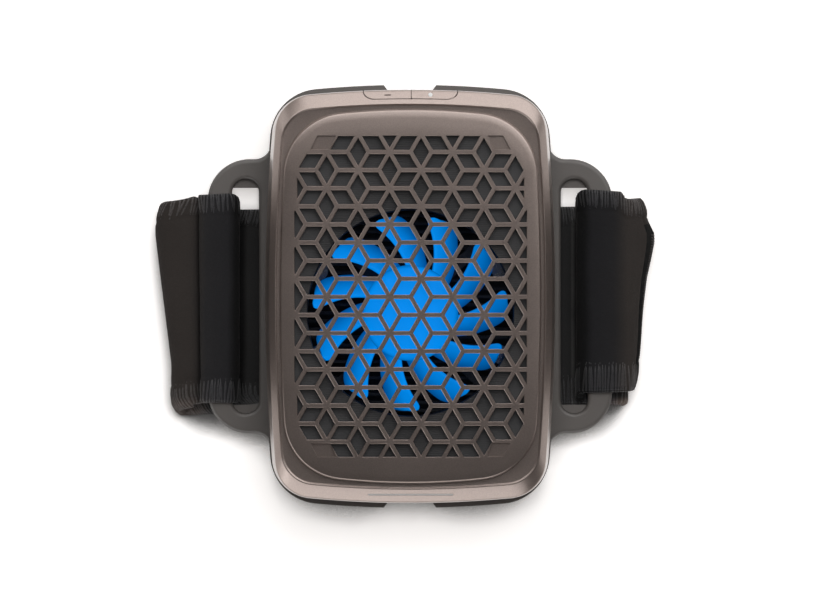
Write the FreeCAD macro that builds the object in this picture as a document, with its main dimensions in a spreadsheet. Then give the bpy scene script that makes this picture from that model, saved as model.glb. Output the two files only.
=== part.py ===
import FreeCAD, Part
import Sketcher
import math
import os

# Strap-on hot and cold therapy unit, lying on its back.
# +Z points out of the grille, +Y towards the two buttons, +X to the right of a
# reader who looks at the grille with the buttons at the top. The origin is on the
# resting surface, under the middle of the housing. Millimetres.

V = FreeCAD.Vector
Placement = FreeCAD.Placement
Rotation = FreeCAD.Rotation

doc = FreeCAD.newDocument("therapy_unit")
sheet = doc.addObject("Spreadsheet::Sheet", "dims")


class Size:
    """A length with the expression that binds it to the sheet."""

    def __init__(self, number, text=None):
        self.n = float(number)
        self.text = repr(float(number)) if text is None else text
        self.bound = text is not None

    def _mix(self, other, sign, fn):
        other = other if isinstance(other, Size) else Size(other)
        out = Size(fn(self.n, other.n), "(%s %s %s)" % (self.text, sign, other.text))
        out.bound = self.bound or other.bound
        return out

    def __add__(self, o):
        return self._mix(o, "+", lambda a, b: a + b)

    def __sub__(self, o):
        return self._mix(o, "-", lambda a, b: a - b)

    def __mul__(self, o):
        return self._mix(o, "*", lambda a, b: a * b)

    def __truediv__(self, o):
        return self._mix(o, "/", lambda a, b: a / b)

    def __radd__(self, o):
        return Size(o)._mix(self, "+", lambda a, b: a + b)

    def __rsub__(self, o):
        return Size(o)._mix(self, "-", lambda a, b: a - b)

    def __rmul__(self, o):
        return Size(o)._mix(self, "*", lambda a, b: a * b)

    def __neg__(self):
        out = Size(-self.n, "(0 - %s)" % self.text)
        out.bound = self.bound
        return out


_row = [0]


def size(alias, number, note):
    _row[0] += 1
    sheet.set("A%d" % _row[0], note)
    sheet.set("B%d" % _row[0], str(number))
    sheet.setAlias("B%d" % _row[0], alias)
    return Size(number, "dims." + alias)


def S(x):
    return x if isinstance(x, Size) else Size(x)


# ---------------------------------------------------------------- driving sizes
body_w = size("body_w", 82.2, "housing, width at the parting line")
body_l = size("body_l", 117.2, "housing, length at the parting line")
corner = size("corner_radius", 11.8, "housing, corner radius in plan")
crown = size("crown_radius", 300, "housing, radius of the gently bowed ends")
flank = size("flank_radius", 560, "housing, radius of the gently bowed long sides")
draft_side = size("draft_side", 1.0, "how far the long sides lean in up to the shoulder")
draft_end = size("draft_end", 0.5, "how far the ends lean in up to the shoulder")
wall = size("wall", 2.2, "housing wall")
z_rear = size("z_rear", 6.0, "underside of the rear shell")
z_floor = size("z_floor", 8.0, "inner floor of the rear shell")
z_split = size("z_split", 24.0, "parting line of the two shells")
z_shoulder = size("z_shoulder", 39.0, "top of the straight side wall")
z_bevel = size("z_bevel", 41.5, "start of the wide bevel")
z_front = size("z_front", 44.0, "ledge around the front panel")
low_w = size("low_w", 76.4, "width of the part that sits in the cradle")
low_l = size("low_l", 114.0, "length of the part that sits in the cradle")
z_low = size("z_low", 15.5, "top of the part that sits in the cradle")
z_flare = size("z_flare", 19.0, "where the rear shell reaches full width")
bev1_side = size("bevel_a_side", 1.4, "outline at the bevel's foot, long sides, from the widest")
bev1_end = size("bevel_a_end", 0.7, "outline at the bevel's foot, ends, from the longest")
bev_side = size("bevel_side", 3.3, "outline at the bevel's top, long sides, from the widest")
bev_end = size("bevel_end", 4.65, "outline at the bevel's top, ends, from the longest")
bev_r = size("bevel_r", 9.6, "corner radius at the bevel's top")

panel_w = size("panel_w", 73.5, "front panel, width")
panel_l = size("panel_l", 105.2, "front panel, length")
panel_r = size("panel_r", 17.5, "front panel, corner radius")
panel_c = size("panel_crown", 185, "front panel, radius of the bowed ends")
panel_z = size("panel_z", 45.4, "top of the front panel")
panel_seat = size("panel_seat", 42.4, "seat of the front panel")
panel_edge = size("panel_edge", 43.9, "foot of the front panel's sloped edge")
rib = size("grille_rib", 1.2, "width of a grille rib")
cell_x = size("cell_x", 8.832, "grille: spacing of star columns")
cell_y = size("cell_y", 10.165, "grille: spacing of stars in a column")
col_x = size("column_x", 2.975, "grille: x of one star column")
star_y = size("star_y", 45.6, "grille: y of the top star in that column")
field_x = size("field_x", 32.6, "grille: half width of the open field in the middle")
field_x2 = size("field_x_end", 31.8, "grille: half width of the open field near the ends")
field_top = size("field_top", 45.13, "grille: top edge of the open field")
field_bot = size("field_bot", -45.05, "grille: bottom edge of the open field")

fan_y = size("fan_y", -4.7, "fan axis, y")
fan_side = size("fan_side", 60.0, "fan frame, square side")
fan_z = size("fan_z", 26.0, "fan frame, underside")
fan_h = size("fan_h", 15.0, "fan frame, height")
fan_bore = size("fan_bore", 58.0, "fan frame, bore")
hub_d = size("hub_d", 27.0, "fan hub, diameter")
tip_r = size("tip_r", 27.7, "fan blade, tip radius")
blades = size("blade_count", 11, "fan blades")

wing_w = size("wing_w", 115.6, "over both wings")
wing_l = size("wing_l", 78.4, "wing, length")
wing_r = size("wing_r", 12.0, "wing, outer corner radius")
wing_z = size("wing_z", 6.8, "wing, underside")
wing_t = size("wing_t", 4.5, "wing, thickness")
slot_in = size("slot_in", 43.1, "strap slot, inner edge from the middle")
slot_out = size("slot_out", 50.8, "strap slot, outer edge from the middle")
slot_l = size("slot_l", 66.8, "strap slot, length")
cradle_z = size("cradle_z", 4.2, "cradle floor, underside")
cradle_t = size("cradle_t", 1.6, "cradle floor, thickness")
cradle_top = size("cradle_top", 14.5, "cradle rim, top")
cradle_w = size("cradle_w", 83.4, "cradle rim, outer width")
cradle_l = size("cradle_l", 120.6, "cradle rim, outer length")
cradle_r = size("cradle_r", 14.2, "cradle rim, corner radius")
cradle_gap = size("cradle_gap", 0.3, "room between cradle rim and housing")

pad_w = size("pad_w", 56.0, "contact plate, width")
pad_l = size("pad_l", 72.0, "contact plate, length")
pad_z = size("pad_z", 2.8, "contact plate, outer face")

strap_w = size("strap_w", 58.0, "strap, width")
strap_t = size("strap_t", 2.5, "strap, thickness")
strap_y = size("strap_y", -1.0, "strap, middle in y")

button_w = size("button_w", 12.7, "one button, width")
button_lo = size("button_lo", 34.0, "button, bottom edge")
button_hi = size("button_hi", 43.05, "button, top edge where it wraps on the bevel")
button_gap = size("button_gap", 0.2, "gap round a button")
button_mid = size("button_mid", 0.25, "half the gap between the buttons")

screw_x = size("screw_x", 30.3, "shell screws, x")
screw_y = size("screw_y", 46.5, "shell screws, y")
doc.recompute()

named = []


# ---------------------------------------------------------------- small helpers
def new_body(name):
    b = doc.addObject("PartDesign::Body", name)
    b.Label = name
    return b


def origin_plane(body, role):
    for f in body.Origin.OriginFeatures:
        if f.Role == role:
            return f
    raise RuntimeError(role)


_count = [0]


def sketch(body, z=0.0, role="XY_Plane", place=None):
    """A sketch on one of the body's own origin planes, z along the plane's normal."""
    _count[0] += 1
    s = body.newObject("Sketcher::SketchObject", "%s_sketch%d" % (body.Name, _count[0]))
    s.AttachmentSupport = [(origin_plane(body, role), "")]
    s.MapMode = "FlatFace"
    if place is not None:
        s.AttachmentOffset = place
        return s
    z = S(z)
    s.AttachmentOffset = Placement(V(0, 0, z.n), Rotation())
    if z.bound:
        s.setExpression("AttachmentOffset.Base.z", z.text)
    return s


def hold(s, kind, args, value):
    value = S(value)
    i = s.addConstraint(Sketcher.Constraint(kind, *args, value.n))
    if value.bound:
        label = "c%d" % i
        s.renameConstraint(i, label)
        s.setExpression("Constraints." + label, value.text)


def line(a, b):
    return Part.LineSegment(V(a[0], a[1], 0), V(b[0], b[1], 0))


def arc(cx, cy, r, a0, a1):
    return Part.ArcOfCircle(
        Part.Circle(V(cx, cy, 0), V(0, 0, 1), r), math.radians(a0), math.radians(a1)
    )


def rrect(s, w, l, r, cx=0.0, cy=0.0):
    """A rectangle with round corners."""
    w, l, r, cx, cy = S(w), S(l), S(r), S(cx), S(cy)
    x0, x1 = cx.n - w.n / 2, cx.n + w.n / 2
    y0, y1 = cy.n - l.n / 2, cy.n + l.n / 2
    q = r.n
    g = s.addGeometry(
        [
            line((x0 + q, y0), (x1 - q, y0)),
            arc(x1 - q, y0 + q, q, -90, 0),
            line((x1, y0 + q), (x1, y1 - q)),
            arc(x1 - q, y1 - q, q, 0, 90),
            line((x1 - q, y1), (x0 + q, y1)),
            arc(x0 + q, y1 - q, q, 90, 180),
            line((x0, y1 - q), (x0, y0 + q)),
            arc(x0 + q, y0 + q, q, 180, 270),
        ],
        False,
    )
    g = list(g)
    for i in range(8):
        s.addConstraint(
            Sketcher.Constraint("Tangent", g[i], 2, g[(i + 1) % 8], 1)
        )
    s.addConstraint(Sketcher.Constraint("Horizontal", g[0]))
    s.addConstraint(Sketcher.Constraint("Vertical", g[2]))
    s.addConstraint(Sketcher.Constraint("Horizontal", g[4]))
    s.addConstraint(Sketcher.Constraint("Vertical", g[6]))
    for i in (3, 5, 7):
        s.addConstraint(Sketcher.Constraint("Equal", g[1], g[i]))
    hold(s, "Radius", (g[1],), r)
    hold(s, "DistanceX", (g[6], 1, g[2], 1), w)
    hold(s, "DistanceY", (g[0], 1, g[4], 1), l)
    hold(s, "DistanceX", (-1, 1, g[2], 1), cx + w / 2)
    hold(s, "DistanceY", (-1, 1, g[4], 1), cy + l / 2)
    return s


def bowed(s, w, l, r, R):
    """The housing's outline: bowed long sides and ends, round corners, all tangent."""
    w, l, r, R = S(w), S(l), S(r), S(R)
    F = flank - (body_w - w) / 2
    cx, cy = w.n / 2 - F.n, l.n / 2 - R.n
    xc, yc = w.n / 2 - r.n, l.n / 2 - r.n
    for _ in range(60):
        yc = cy + math.sqrt((R.n - r.n) ** 2 - xc**2)
        xc = cx + math.sqrt((F.n - r.n) ** 2 - yc**2)
    a = math.degrees(math.atan2(yc - cy, xc))
    b = math.degrees(math.atan2(yc, xc - cx))
    g = s.addGeometry(
        [
            arc(cx, 0, F.n, -b, b),
            arc(xc, yc, r.n, b, a),
            arc(0, cy, R.n, a, 180 - a),
            arc(-xc, yc, r.n, 180 - a, 180 - b),
            arc(-cx, 0, F.n, 180 - b, 180 + b),
            arc(-xc, -yc, r.n, 180 + b, 180 + a),
            arc(0, -cy, R.n, 180 + a, 360 - a),
            arc(xc, -yc, r.n, 360 - a, 360 - b),
        ],
        False,
    )
    g = list(g)
    for i in range(8):
        s.addConstraint(
            Sketcher.Constraint("Tangent", g[i], 2, g[(i + 1) % 8], 1)
        )
    hold(s, "Radius", (g[1],), r)
    for i in (3, 5, 7):
        s.addConstraint(Sketcher.Constraint("Equal", g[1], g[i]))
    hold(s, "Radius", (g[2],), R)
    s.addConstraint(Sketcher.Constraint("Equal", g[2], g[6]))
    s.addConstraint(Sketcher.Constraint("PointOnObject", g[2], 3, -2))
    s.addConstraint(Sketcher.Constraint("PointOnObject", g[6], 3, -2))
    hold(s, "DistanceY", (-1, 1, g[2], 3), l / 2 - R)
    hold(s, "DistanceY", (-1, 1, g[6], 3), R - l / 2)
    hold(s, "Radius", (g[0],), F)
    s.addConstraint(Sketcher.Constraint("Equal", g[0], g[4]))
    s.addConstraint(Sketcher.Constraint("PointOnObject", g[0], 3, -1))
    s.addConstraint(Sketcher.Constraint("PointOnObject", g[4], 3, -1))
    hold(s, "DistanceX", (-1, 1, g[0], 3), w / 2 - F)
    hold(s, "DistanceX", (-1, 1, g[4], 3), F - w / 2)
    return s


def circle(s, d, cx=0.0, cy=0.0):
    d, cx, cy = S(d), S(cx), S(cy)
    g = s.addGeometry(Part.Circle(V(cx.n, cy.n, 0), V(0, 0, 1), d.n / 2), False)
    hold(s, "Diameter", (g,), d)
    hold(s, "DistanceX", (-1, 1, g, 3), cx)
    hold(s, "DistanceY", (-1, 1, g, 3), cy)
    return s


def poly(s, pts):
    """A closed polygon, each corner held from the origin."""
    pts = [(S(x), S(y)) for x, y in pts]
    n = len(pts)
    g = list(
        s.addGeometry(
            [
                line(
                    (pts[i][0].n, pts[i][1].n),
                    (pts[(i + 1) % n][0].n, pts[(i + 1) % n][1].n),
                )
                for i in range(n)
            ],
            False,
        )
    )
    for i in range(n):
        s.addConstraint(
            Sketcher.Constraint("Coincident", g[i], 2, g[(i + 1) % n], 1)
        )
    for i in range(n):
        hold(s, "DistanceX", (-1, 1, g[i], 1), pts[i][0])
        hold(s, "DistanceY", (-1, 1, g[i], 1), pts[i][1])
    return s


def rect(s, w, l, cx=0.0, cy=0.0):
    w, l, cx, cy = S(w), S(l), S(cx), S(cy)
    return poly(
        s,
        [
            (cx - w / 2, cy - l / 2),
            (cx + w / 2, cy - l / 2),
            (cx + w / 2, cy + l / 2),
            (cx - w / 2, cy + l / 2),
        ],
    )


def pad(body, s, length, reverse=False, draft=None):
    _count[0] += 1
    f = body.newObject("PartDesign::Pad", "%s_pad%d" % (body.Name, _count[0]))
    f.Profile = s
    length = S(length)
    f.Length = length.n
    if length.bound:
        f.setExpression("Length", length.text)
    f.Reversed = reverse
    if draft is not None:
        f.TaperAngle = draft
    s.Visibility = False
    return f


def pocket(body, s, length, reverse=False):
    """Cuts away from the sketch, against its normal."""
    doc.recompute()
    before = body.Shape.Volume
    _count[0] += 1
    f = body.newObject("PartDesign::Pocket", "%s_pocket%d" % (body.Name, _count[0]))
    f.Profile = s
    length = S(length)
    f.Length = length.n
    if length.bound:
        f.setExpression("Length", length.text)
    f.Reversed = reverse
    doc.recompute()
    if not body.Shape.Volume < before - 1e-4:
        states = [(o.Name, o.State) for o in body.Group if "Invalid" in o.State]
        raise RuntimeError("%s cuts nothing, %s" % (f.Name, states))
    return f


def loft(body, first, others, ruled=True):
    _count[0] += 1
    f = body.newObject("PartDesign::AdditiveLoft", "%s_loft%d" % (body.Name, _count[0]))
    f.Profile = first
    f.Sections = others
    f.Ruled = ruled
    return f


def edges(feature, test):
    doc.recompute()
    names = []
    for i, e in enumerate(feature.Shape.Edges):
        if test(e):
            names.append("Edge%d" % (i + 1))
    if not names:
        raise RuntimeError("no edges found on " + feature.Name)
    return names


def dress(body, kind, base, names, amount):
    _count[0] += 1
    f = body.newObject("PartDesign::" + kind, "%s_%s%d" % (body.Name, kind, _count[0]))
    f.Base = (base, names)
    amount = S(amount)
    prop = "Radius" if kind == "Fillet" else "Size"
    setattr(f, prop, amount.n)
    if amount.bound:
        f.setExpression(prop, amount.text)
    doc.recompute()
    return f


def polar(body, feature, count):
    doc.recompute()
    _count[0] += 1
    f = body.newObject("PartDesign::PolarPattern", "%s_polar%d" % (body.Name, _count[0]))
    f.Originals = [feature] if not isinstance(feature, list) else feature
    z = [o for o in body.Origin.OriginFeatures if o.Role == "Z_Axis"][0]
    f.Axis = (z, [""])
    f.Angle = 360
    count = S(count)
    f.Occurrences = int(count.n)
    if count.bound:
        f.setExpression("Occurrences", count.text)
    body.Tip = f
    return f


def linear(body, feature, role, length, count, reverse=False):
    doc.recompute()
    _count[0] += 1
    f = body.newObject("PartDesign::LinearPattern", "%s_row%d" % (body.Name, _count[0]))
    f.Originals = [feature] if not isinstance(feature, list) else feature
    ax = [o for o in body.Origin.OriginFeatures if o.Role == role][0]
    f.Direction = (ax, [""])
    f.Reversed = reverse
    length = S(length)
    f.Length = length.n
    if length.bound:
        f.setExpression("Length", length.text)
    f.Occurrences = count
    body.Tip = f
    return f


def keep(obj, label=None):
    if label:
        obj.Label = label
    named.append(obj)
    return obj


def is_line(e):
    return e.Curve.TypeId == "Part::GeomLine"


def upright(e):
    return is_line(e) and abs(abs(e.tangentAt(e.FirstParameter).z) - 1) < 1e-6


def at_z(e, z, tol=1e-4):
    b = e.BoundBox
    return abs(b.ZMin - z) < tol and abs(b.ZMax - z) < tol


def bind(obj, **sizes):
    for prop, value in sizes.items():
        value = S(value)
        setattr(obj, prop, value.n)
        if value.bound:
            obj.setExpression(prop, value.text)


def box(name, x0, y0, z0, x1, y1, z1):
    """A Part::Box between two corners, bound to the sheet."""
    x0, y0, z0, x1, y1, z1 = [S(v) for v in (x0, y0, z0, x1, y1, z1)]
    b = doc.addObject("Part::Box", name)
    bind(b, Length=x1 - x0, Width=y1 - y0, Height=z1 - z0)
    b.Placement = Placement(V(x0.n, y0.n, z0.n), Rotation())
    for axis, v in (("x", x0), ("y", y0), ("z", z0)):
        if v.bound:
            b.setExpression("Placement.Base." + axis, v.text)
    return b


def rod(name, x, y, z, d, length, axis="z"):
    """A Part::Cylinder from a point along +Z, +X or +Y."""
    x, y, z, d = S(x), S(y), S(z), S(d)
    c = doc.addObject("Part::Cylinder", name)
    bind(c, Radius=d / 2, Height=length)
    turn = {
        "z": Rotation(),
        "x": Rotation(V(0, 1, 0), 90),
        "y": Rotation(V(1, 0, 0), -90),
    }[axis]
    c.Placement = Placement(V(x.n, y.n, z.n), turn)
    for ax, v in (("x", x), ("y", y), ("z", z)):
        if v.bound:
            c.setExpression("Placement.Base." + ax, v.text)
    return c


def fuse(name, parts):
    f = doc.addObject("Part::MultiFuse", name)
    f.Shapes = parts
    f.Refine = True
    return f


def cut(name, base, tool):
    f = doc.addObject("Part::Cut", name)
    f.Base = base
    f.Tool = tool
    f.Refine = True
    return f


def common(name, a, b):
    f = doc.addObject("Part::Common", name)
    f.Base = a
    f.Tool = b
    f.Refine = True
    return f


def group(name, parts):
    f = doc.addObject("Part::Compound", name)
    f.Links = parts
    return f


# ---------------------------------------------------------------- housing outline
def full_outline(s, inset=0.0, inset_end=None, r=None):
    inset = S(inset)
    end = inset if inset_end is None else S(inset_end)
    r = corner - inset if r is None else r
    return bowed(s, body_w - 2 * inset, body_l - 2 * end, r, crown - end)


def low_outline(s, inset=0.0):
    inset = S(inset)
    return bowed(
        s, low_w - 2 * inset, low_l - 2 * inset, corner - 1.5 - inset, crown - inset
    )


def outer_form(body):
    """The outer skin of the front shell, solid: leaning wall, shoulder, bevel."""
    rings = [
        (z_split, 0.0, 0.0, corner),
        (z_shoulder, draft_side, draft_end, corner - draft_side),
        (z_bevel, bev1_side, bev1_end, corner - bev1_side),
        (z_front, bev_side, bev_end, bev_r),
    ]
    for low, high in zip(rings, rings[1:]):
        loft(
            body,
            full_outline(sketch(body, low[0]), *low[1:]),
            [full_outline(sketch(body, high[0]), *high[1:])],
        )
        doc.recompute()


# ---------------------------------------------------------------- cradle
cradle = new_body("cradle")
pad(
    cradle,
    bowed(
        sketch(cradle, cradle_z),
        cradle_w,
        cradle_l,
        cradle_r,
        crown - 10,
    ),
    cradle_top - cradle_z,
)
doc.recompute()
# both wings in one profile; each grows out of the rim in a concave curve
web_r = size("web_radius", 4.8, "curve between wing and rim")
web_x = size("web_x", 39.6, "where that curve leaves the rim")


def wing_plan(s):
    w, l, r, q, x0 = wing_w.n / 2, wing_l.n / 2, wing_r.n, web_r.n, web_x.n
    xq = x0 + q
    geo = []
    for m in (1, -1):
        k = 0 if m > 0 else 180
        geo += [
            arc(m * xq, -m * (l + q), q, 90 + k, 180 + k),
            line((m * xq, -m * l), (m * (w - r), -m * l)),
            arc(m * (w - r), -m * (l - r), r, -90 + k, k),
            line((m * w, -m * (l - r)), (m * w, m * (l - r))),
            arc(m * (w - r), m * (l - r), r, k, 90 + k),
            line((m * (w - r), m * l), (m * xq, m * l)),
            arc(m * xq, m * (l + q), q, 180 + k, 270 + k),
            line((m * x0, m * (l + q)), (-m * x0, m * (l + q))),
        ]
    g = list(s.addGeometry(geo, False))
    C = Sketcher.Constraint
    for i in range(0, 16, 8):
        s.addConstraint(C("Tangent", g[i], 1, g[i + 1], 1))
        s.addConstraint(C("Tangent", g[i + 1], 2, g[i + 2], 1))
        s.addConstraint(C("Tangent", g[i + 2], 2, g[i + 3], 1))
        s.addConstraint(C("Tangent", g[i + 3], 2, g[i + 4], 1))
        s.addConstraint(C("Tangent", g[i + 4], 2, g[i + 5], 1))
        s.addConstraint(C("Tangent", g[i + 5], 2, g[i + 6], 2))
        s.addConstraint(C("Coincident", g[i + 6], 1, g[i + 7], 1))
        s.addConstraint(C("Coincident", g[i + 7], 2, g[(i + 8) % 16], 2))
        s.addConstraint(C("Vertical", g[i + 3]))
        s.addConstraint(C("Horizontal", g[i + 7]))
        hold(s, "Radius", (g[i],), web_r)
        hold(s, "Radius", (g[i + 6],), web_r)
        hold(s, "Radius", (g[i + 2],), wing_r)
        hold(s, "Radius", (g[i + 4],), wing_r)
    hold(s, "DistanceX", (-1, 1, g[3], 1), wing_w / 2)
    hold(s, "DistanceX", (-1, 1, g[11], 1), -(wing_w / 2))
    return s


pad(cradle, wing_plan(sketch(cradle, wing_z)), wing_t)
# the room for the housing
pocket(
    cradle,
    bowed(
        sketch(cradle, cradle_top),
        low_w + 2 * cradle_gap,
        low_l + 2 * cradle_gap,
        corner - 1.5 + cradle_gap,
        crown,
    ),
    cradle_top - cradle_z - cradle_t,
)
# window in the floor for the contact plate
pocket(
    cradle,
    rrect(sketch(cradle, cradle_z + cradle_t), pad_w + 6, pad_l + 6, 10, 0, fan_y),
    cradle_t,
)
# strap slots with round ends
slot_w = slot_out - slot_in
for side in (-1, 1):
    mid = (slot_in + slot_out) / 2 * side
    pocket(
        cradle,
        rrect(sketch(cradle, cradle_top), slot_w, slot_l, slot_w / 2 - 0.02, mid, 0),
        cradle_top - cradle_z,
    )
# notches in the middle of both end rims, wider at the outside
for end in (-1, 1):
    y0 = (cradle_l / 2 + 1) * end
    y1 = (cradle_l / 2 - 3.2) * end
    pocket(
        cradle,
        poly(
            sketch(cradle, cradle_top + 1),
            [(-8.25, y0), (8.25, y0), (5.2, y1), (-5.2, y1)]
            if end < 0
            else [(8.25, y0), (-8.25, y0), (-5.2, y1), (5.2, y1)],
        ),
        cradle_top + 2 - cradle_z,
    )
tip = cradle.Tip
# soft edges on the wings, outside and in the slots
rim_edges = edges(
    tip,
    lambda e: (at_z(e, wing_z.n) or at_z(e, wing_z.n + wing_t.n))
    and abs(e.CenterOfMass.x) > 41.2
    and not (abs(e.CenterOfMass.y) < 5 and abs(e.CenterOfMass.x) < 42.6)
    and e.Length > 0.5,
)
dress(cradle, "Fillet", tip, rim_edges, size("wing_edge", 1.2, "wing edge rounding"))
# the slots' round ends step down to a thin ledge, so the opening below is shorter
ledge_t = size("slot_ledge_t", 1.9, "ledge at a slot's ends, thickness")
ledge_y = size("slot_ledge_y", 31.0, "ledge at a slot's ends, from the middle")
for side in (-1, 1):
    for end in (-1, 1):
        far = slot_l.n / 2 + 1.0
        pad(
            cradle,
            rrect(
                sketch(cradle, wing_z),
                slot_w + 1.6,
                far - ledge_y.n,
                0.4,
                (slot_in.n + slot_out.n) / 2 * side,
                (far + ledge_y.n) / 2 * end,
            ),
            ledge_t,
        )
keep(cradle)


# ---------------------------------------------------------------- strap
def band(points, t):
    """A flat band's section in the XZ plane: straight runs joined by tangent arcs.
    points: (x, z, radius of the middle line)."""

    def side(off):
        segs = []
        n = len(points)
        P = [V(p[0], 0, p[1]) for p in points]
        dirs = []
        for i in range(n - 1):
            d = P[i + 1].sub(P[i])
            d.normalize()
            dirs.append(d)
        normal = [V(-d.z, 0, d.x) for d in dirs]
        last = P[0].add(normal[0] * off)
        for i in range(1, n - 1):
            d0, d1 = dirs[i - 1], dirs[i]
            turn = d0.x * d1.z - d0.z * d1.x
            ang = math.acos(max(-1, min(1, d0.dot(d1))))
            r = points[i][2]
            tl = r * math.tan(ang / 2)
            s = 1 if turn > 0 else -1
            centre = P[i].sub(d0 * tl).add(normal[i - 1] * (s * r))
            rr = r - s * off
            a = centre.add(normal[i - 1] * (-s * rr))
            b = centre.add(normal[i] * (-s * rr))
            m = a.add(b).sub(centre * 2)
            m.normalize()
            m = centre.add(m * rr)
            if a.sub(last).Length > 1e-6:
                segs.append(Part.LineSegment(last, a).toShape())
            segs.append(Part.Arc(a, m, b).toShape())
            last = b
        end = P[-1].add(normal[-1] * off)
        if end.sub(last).Length > 1e-6:
            segs.append(Part.LineSegment(last, end).toShape())
        return segs, P[0].add(normal[0] * off), end

    one, a0, a1 = side(t / 2)
    two, b0, b1 = side(-t / 2)
    wire = Part.Wire(
        Part.__sortEdges__(
            one
            + [Part.LineSegment(a1, b1).toShape()]
            + two
            + [Part.LineSegment(b0, a0).toShape()]
        )
    )
    length = 0.0
    mid, _, _ = side(0.0)
    for e in mid:
        length += e.Length
    return Part.Face(wire), length


zb = wing_z.n - 0.15 - strap_t.n / 2  # strap under a bar
zt = wing_z.n + wing_t.n + 0.2 + strap_t.n / 2  # strap over a bar
xi = slot_out.n - 0.15 - strap_t.n / 2  # strap in a slot
zc = strap_t.n / 2
# from the sewn left end, over the bar, down the slot, under the bar, round the left
# bulge, under the unit, round the right bulge, under and over the right bar, and down
# the outside again as the fastened tail
route = [
    (-62.4, zt, 0),
    (-xi, zt, 2.6),
    (-xi, zb, 2.6),
    (-60.4, zb, 5.0),
    (-64.6, 10.0, 3.5),
    (-72.75, 10.0, 3.8),
    (-72.75, zc, 4.0),
    (65.0, zc, 3.0),
    (65.0, 9.05, 1.9),
    (61.2, 9.05, 2.2),
    (58.8, zb, 3.0),
    (xi, zb, 2.6),
    (xi, zt, 2.6),
    (68.6, zt, 5.2),
    (68.6, 4.0, 0),
]
face, strap_length = band(route, strap_t.n)
print("strap length along its middle: %.1f mm" % strap_length)
solid = face.extrude(V(0, strap_w.n, 0))
if solid.Volume < 0:
    solid.reverse()
strap = doc.addObject("Part::Feature", "strap_band")
strap.Label = "strap_band"
strap.Shape = solid
strap.Placement = Placement(V(0, strap_y.n - strap_w.n / 2, 0), Rotation())
keep(strap)

hook_face, hook_length = band(
    [(60.6, zt - 1.8, 0), (66.8, zt - 1.8, 3.4), (66.8, 4.3, 0)], 1.0
)
hook_solid = hook_face.extrude(V(0, strap_w.n - 6, 0))
if hook_solid.Volume < 0:
    hook_solid.reverse()
hook = doc.addObject("Part::Feature", "strap_hook_patch")
hook.Label = "strap_hook_patch"
hook.Shape = hook_solid
hook.Placement = Placement(V(0, strap_y.n - (strap_w.n - 6) / 2, 0), Rotation())
keep(hook)

# ---------------------------------------------------------------- rear shell
rear = new_body("rear_shell")
pad(rear, low_outline(sketch(rear, z_rear)), z_low - z_rear)
doc.recompute()
loft(rear, low_outline(sketch(rear, z_low)), [full_outline(sketch(rear, z_flare))])
doc.recompute()
pad(rear, full_outline(sketch(rear, z_flare)), z_split - z_flare)
pocket(rear, low_outline(sketch(rear, z_split), wall), z_split - z_floor)
# screw posts
posts = sketch(rear, z_floor)
for sx in (-1, 1):
    for sy in (-1, 1):
        circle(posts, 6.4, screw_x * sx, screw_y * sy)
pad(rear, posts, z_split - z_floor - 0.3)
heads = sketch(rear, z_rear + 3.4)
for sx in (-1, 1):
    for sy in (-1, 1):
        circle(heads, 4.6, screw_x * sx, screw_y * sy)
pocket(rear, heads, 3.4)
holes = sketch(rear, z_split)
for sx in (-1, 1):
    for sy in (-1, 1):
        circle(holes, 2.4, screw_x * sx, screw_y * sy)
pocket(rear, holes, z_split - z_rear)
# window for the contact plate
pocket(
    rear,
    rrect(sketch(rear, z_floor), pad_w + 0.6, pad_l + 0.6, 8.3, 0, fan_y),
    z_floor - z_rear,
)
# charging port: the end wall is cut along Y
usb_z = size("usb_z", 11.6, "charging port, height of its middle")
port = sketch(rear, low_l / 2 + 1, "XZ_Plane")
rrect(port, 9.7, 3.9, 1.9, 0, usb_z)
pocket(rear, port, 5.0)
under = rear.Tip
dress(
    rear,
    "Chamfer",
    under,
    edges(
        under,
        lambda e: at_z(e, z_rear.n)
        and (abs(e.CenterOfMass.x) > 37.9 or abs(e.CenterOfMass.y) > 50.0
             or (abs(e.CenterOfMass.x) > 32 and abs(e.CenterOfMass.y) > 48)),
    ),
    1.2,
)
keep(rear)

# ---------------------------------------------------------------- front shell
front = new_body("front_shell")
outer_form(front)
pocket(front, full_outline(sketch(front, z_shoulder + 1.0), wall + 0.6), z_shoulder + 1.0 - z_split)
# seat for the front panel and the opening under it
pocket(
    front,
    bowed(sketch(front, z_front), panel_w + 0.3, panel_l + 0.3, panel_r, panel_c),
    z_front - panel_seat,
)
pocket(
    front,
    rrect(sketch(front, panel_seat), 67.0, 95.0, 9.0),
    4.0,
)
# posts for the shell screws
posts = sketch(front, z_split + 0.1)
for sx in (-1, 1):
    for sy in (-1, 1):
        circle(posts, 6.4, screw_x * sx, screw_y * sy)
pad(front, posts, z_shoulder + 1.2 - z_split)
holes = sketch(front, z_split + 12)
for sx in (-1, 1):
    for sy in (-1, 1):
        circle(holes, 2.0, screw_x * sx, screw_y * sy)
pocket(front, holes, 12.0)
# the two button openings in the +Y end, joined
b_half = button_mid + button_w + button_gap
bh = button_hi - button_lo + 2 * button_gap
bz = (button_hi + button_lo) / 2
opening = sketch(front, -(body_l / 2 + 1), "XZ_Plane")
rrect(opening, 2 * b_half, bh, 1.4, 0, bz)
pocket(front, opening, 5.4, reverse=True)
# slot for the status light in the bevel of the -Y end
led_y = size("light_y", -55.7, "status light, y")
pocket(front, rrect(sketch(front, z_front), 24.0, 0.9, 0.44, 0, led_y), 5.0)
pocket(front, rect(sketch(front, z_shoulder + 1.0), 24.0, 2.6, 0, led_y + 0.7), 1.7)
keep(front)

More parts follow.
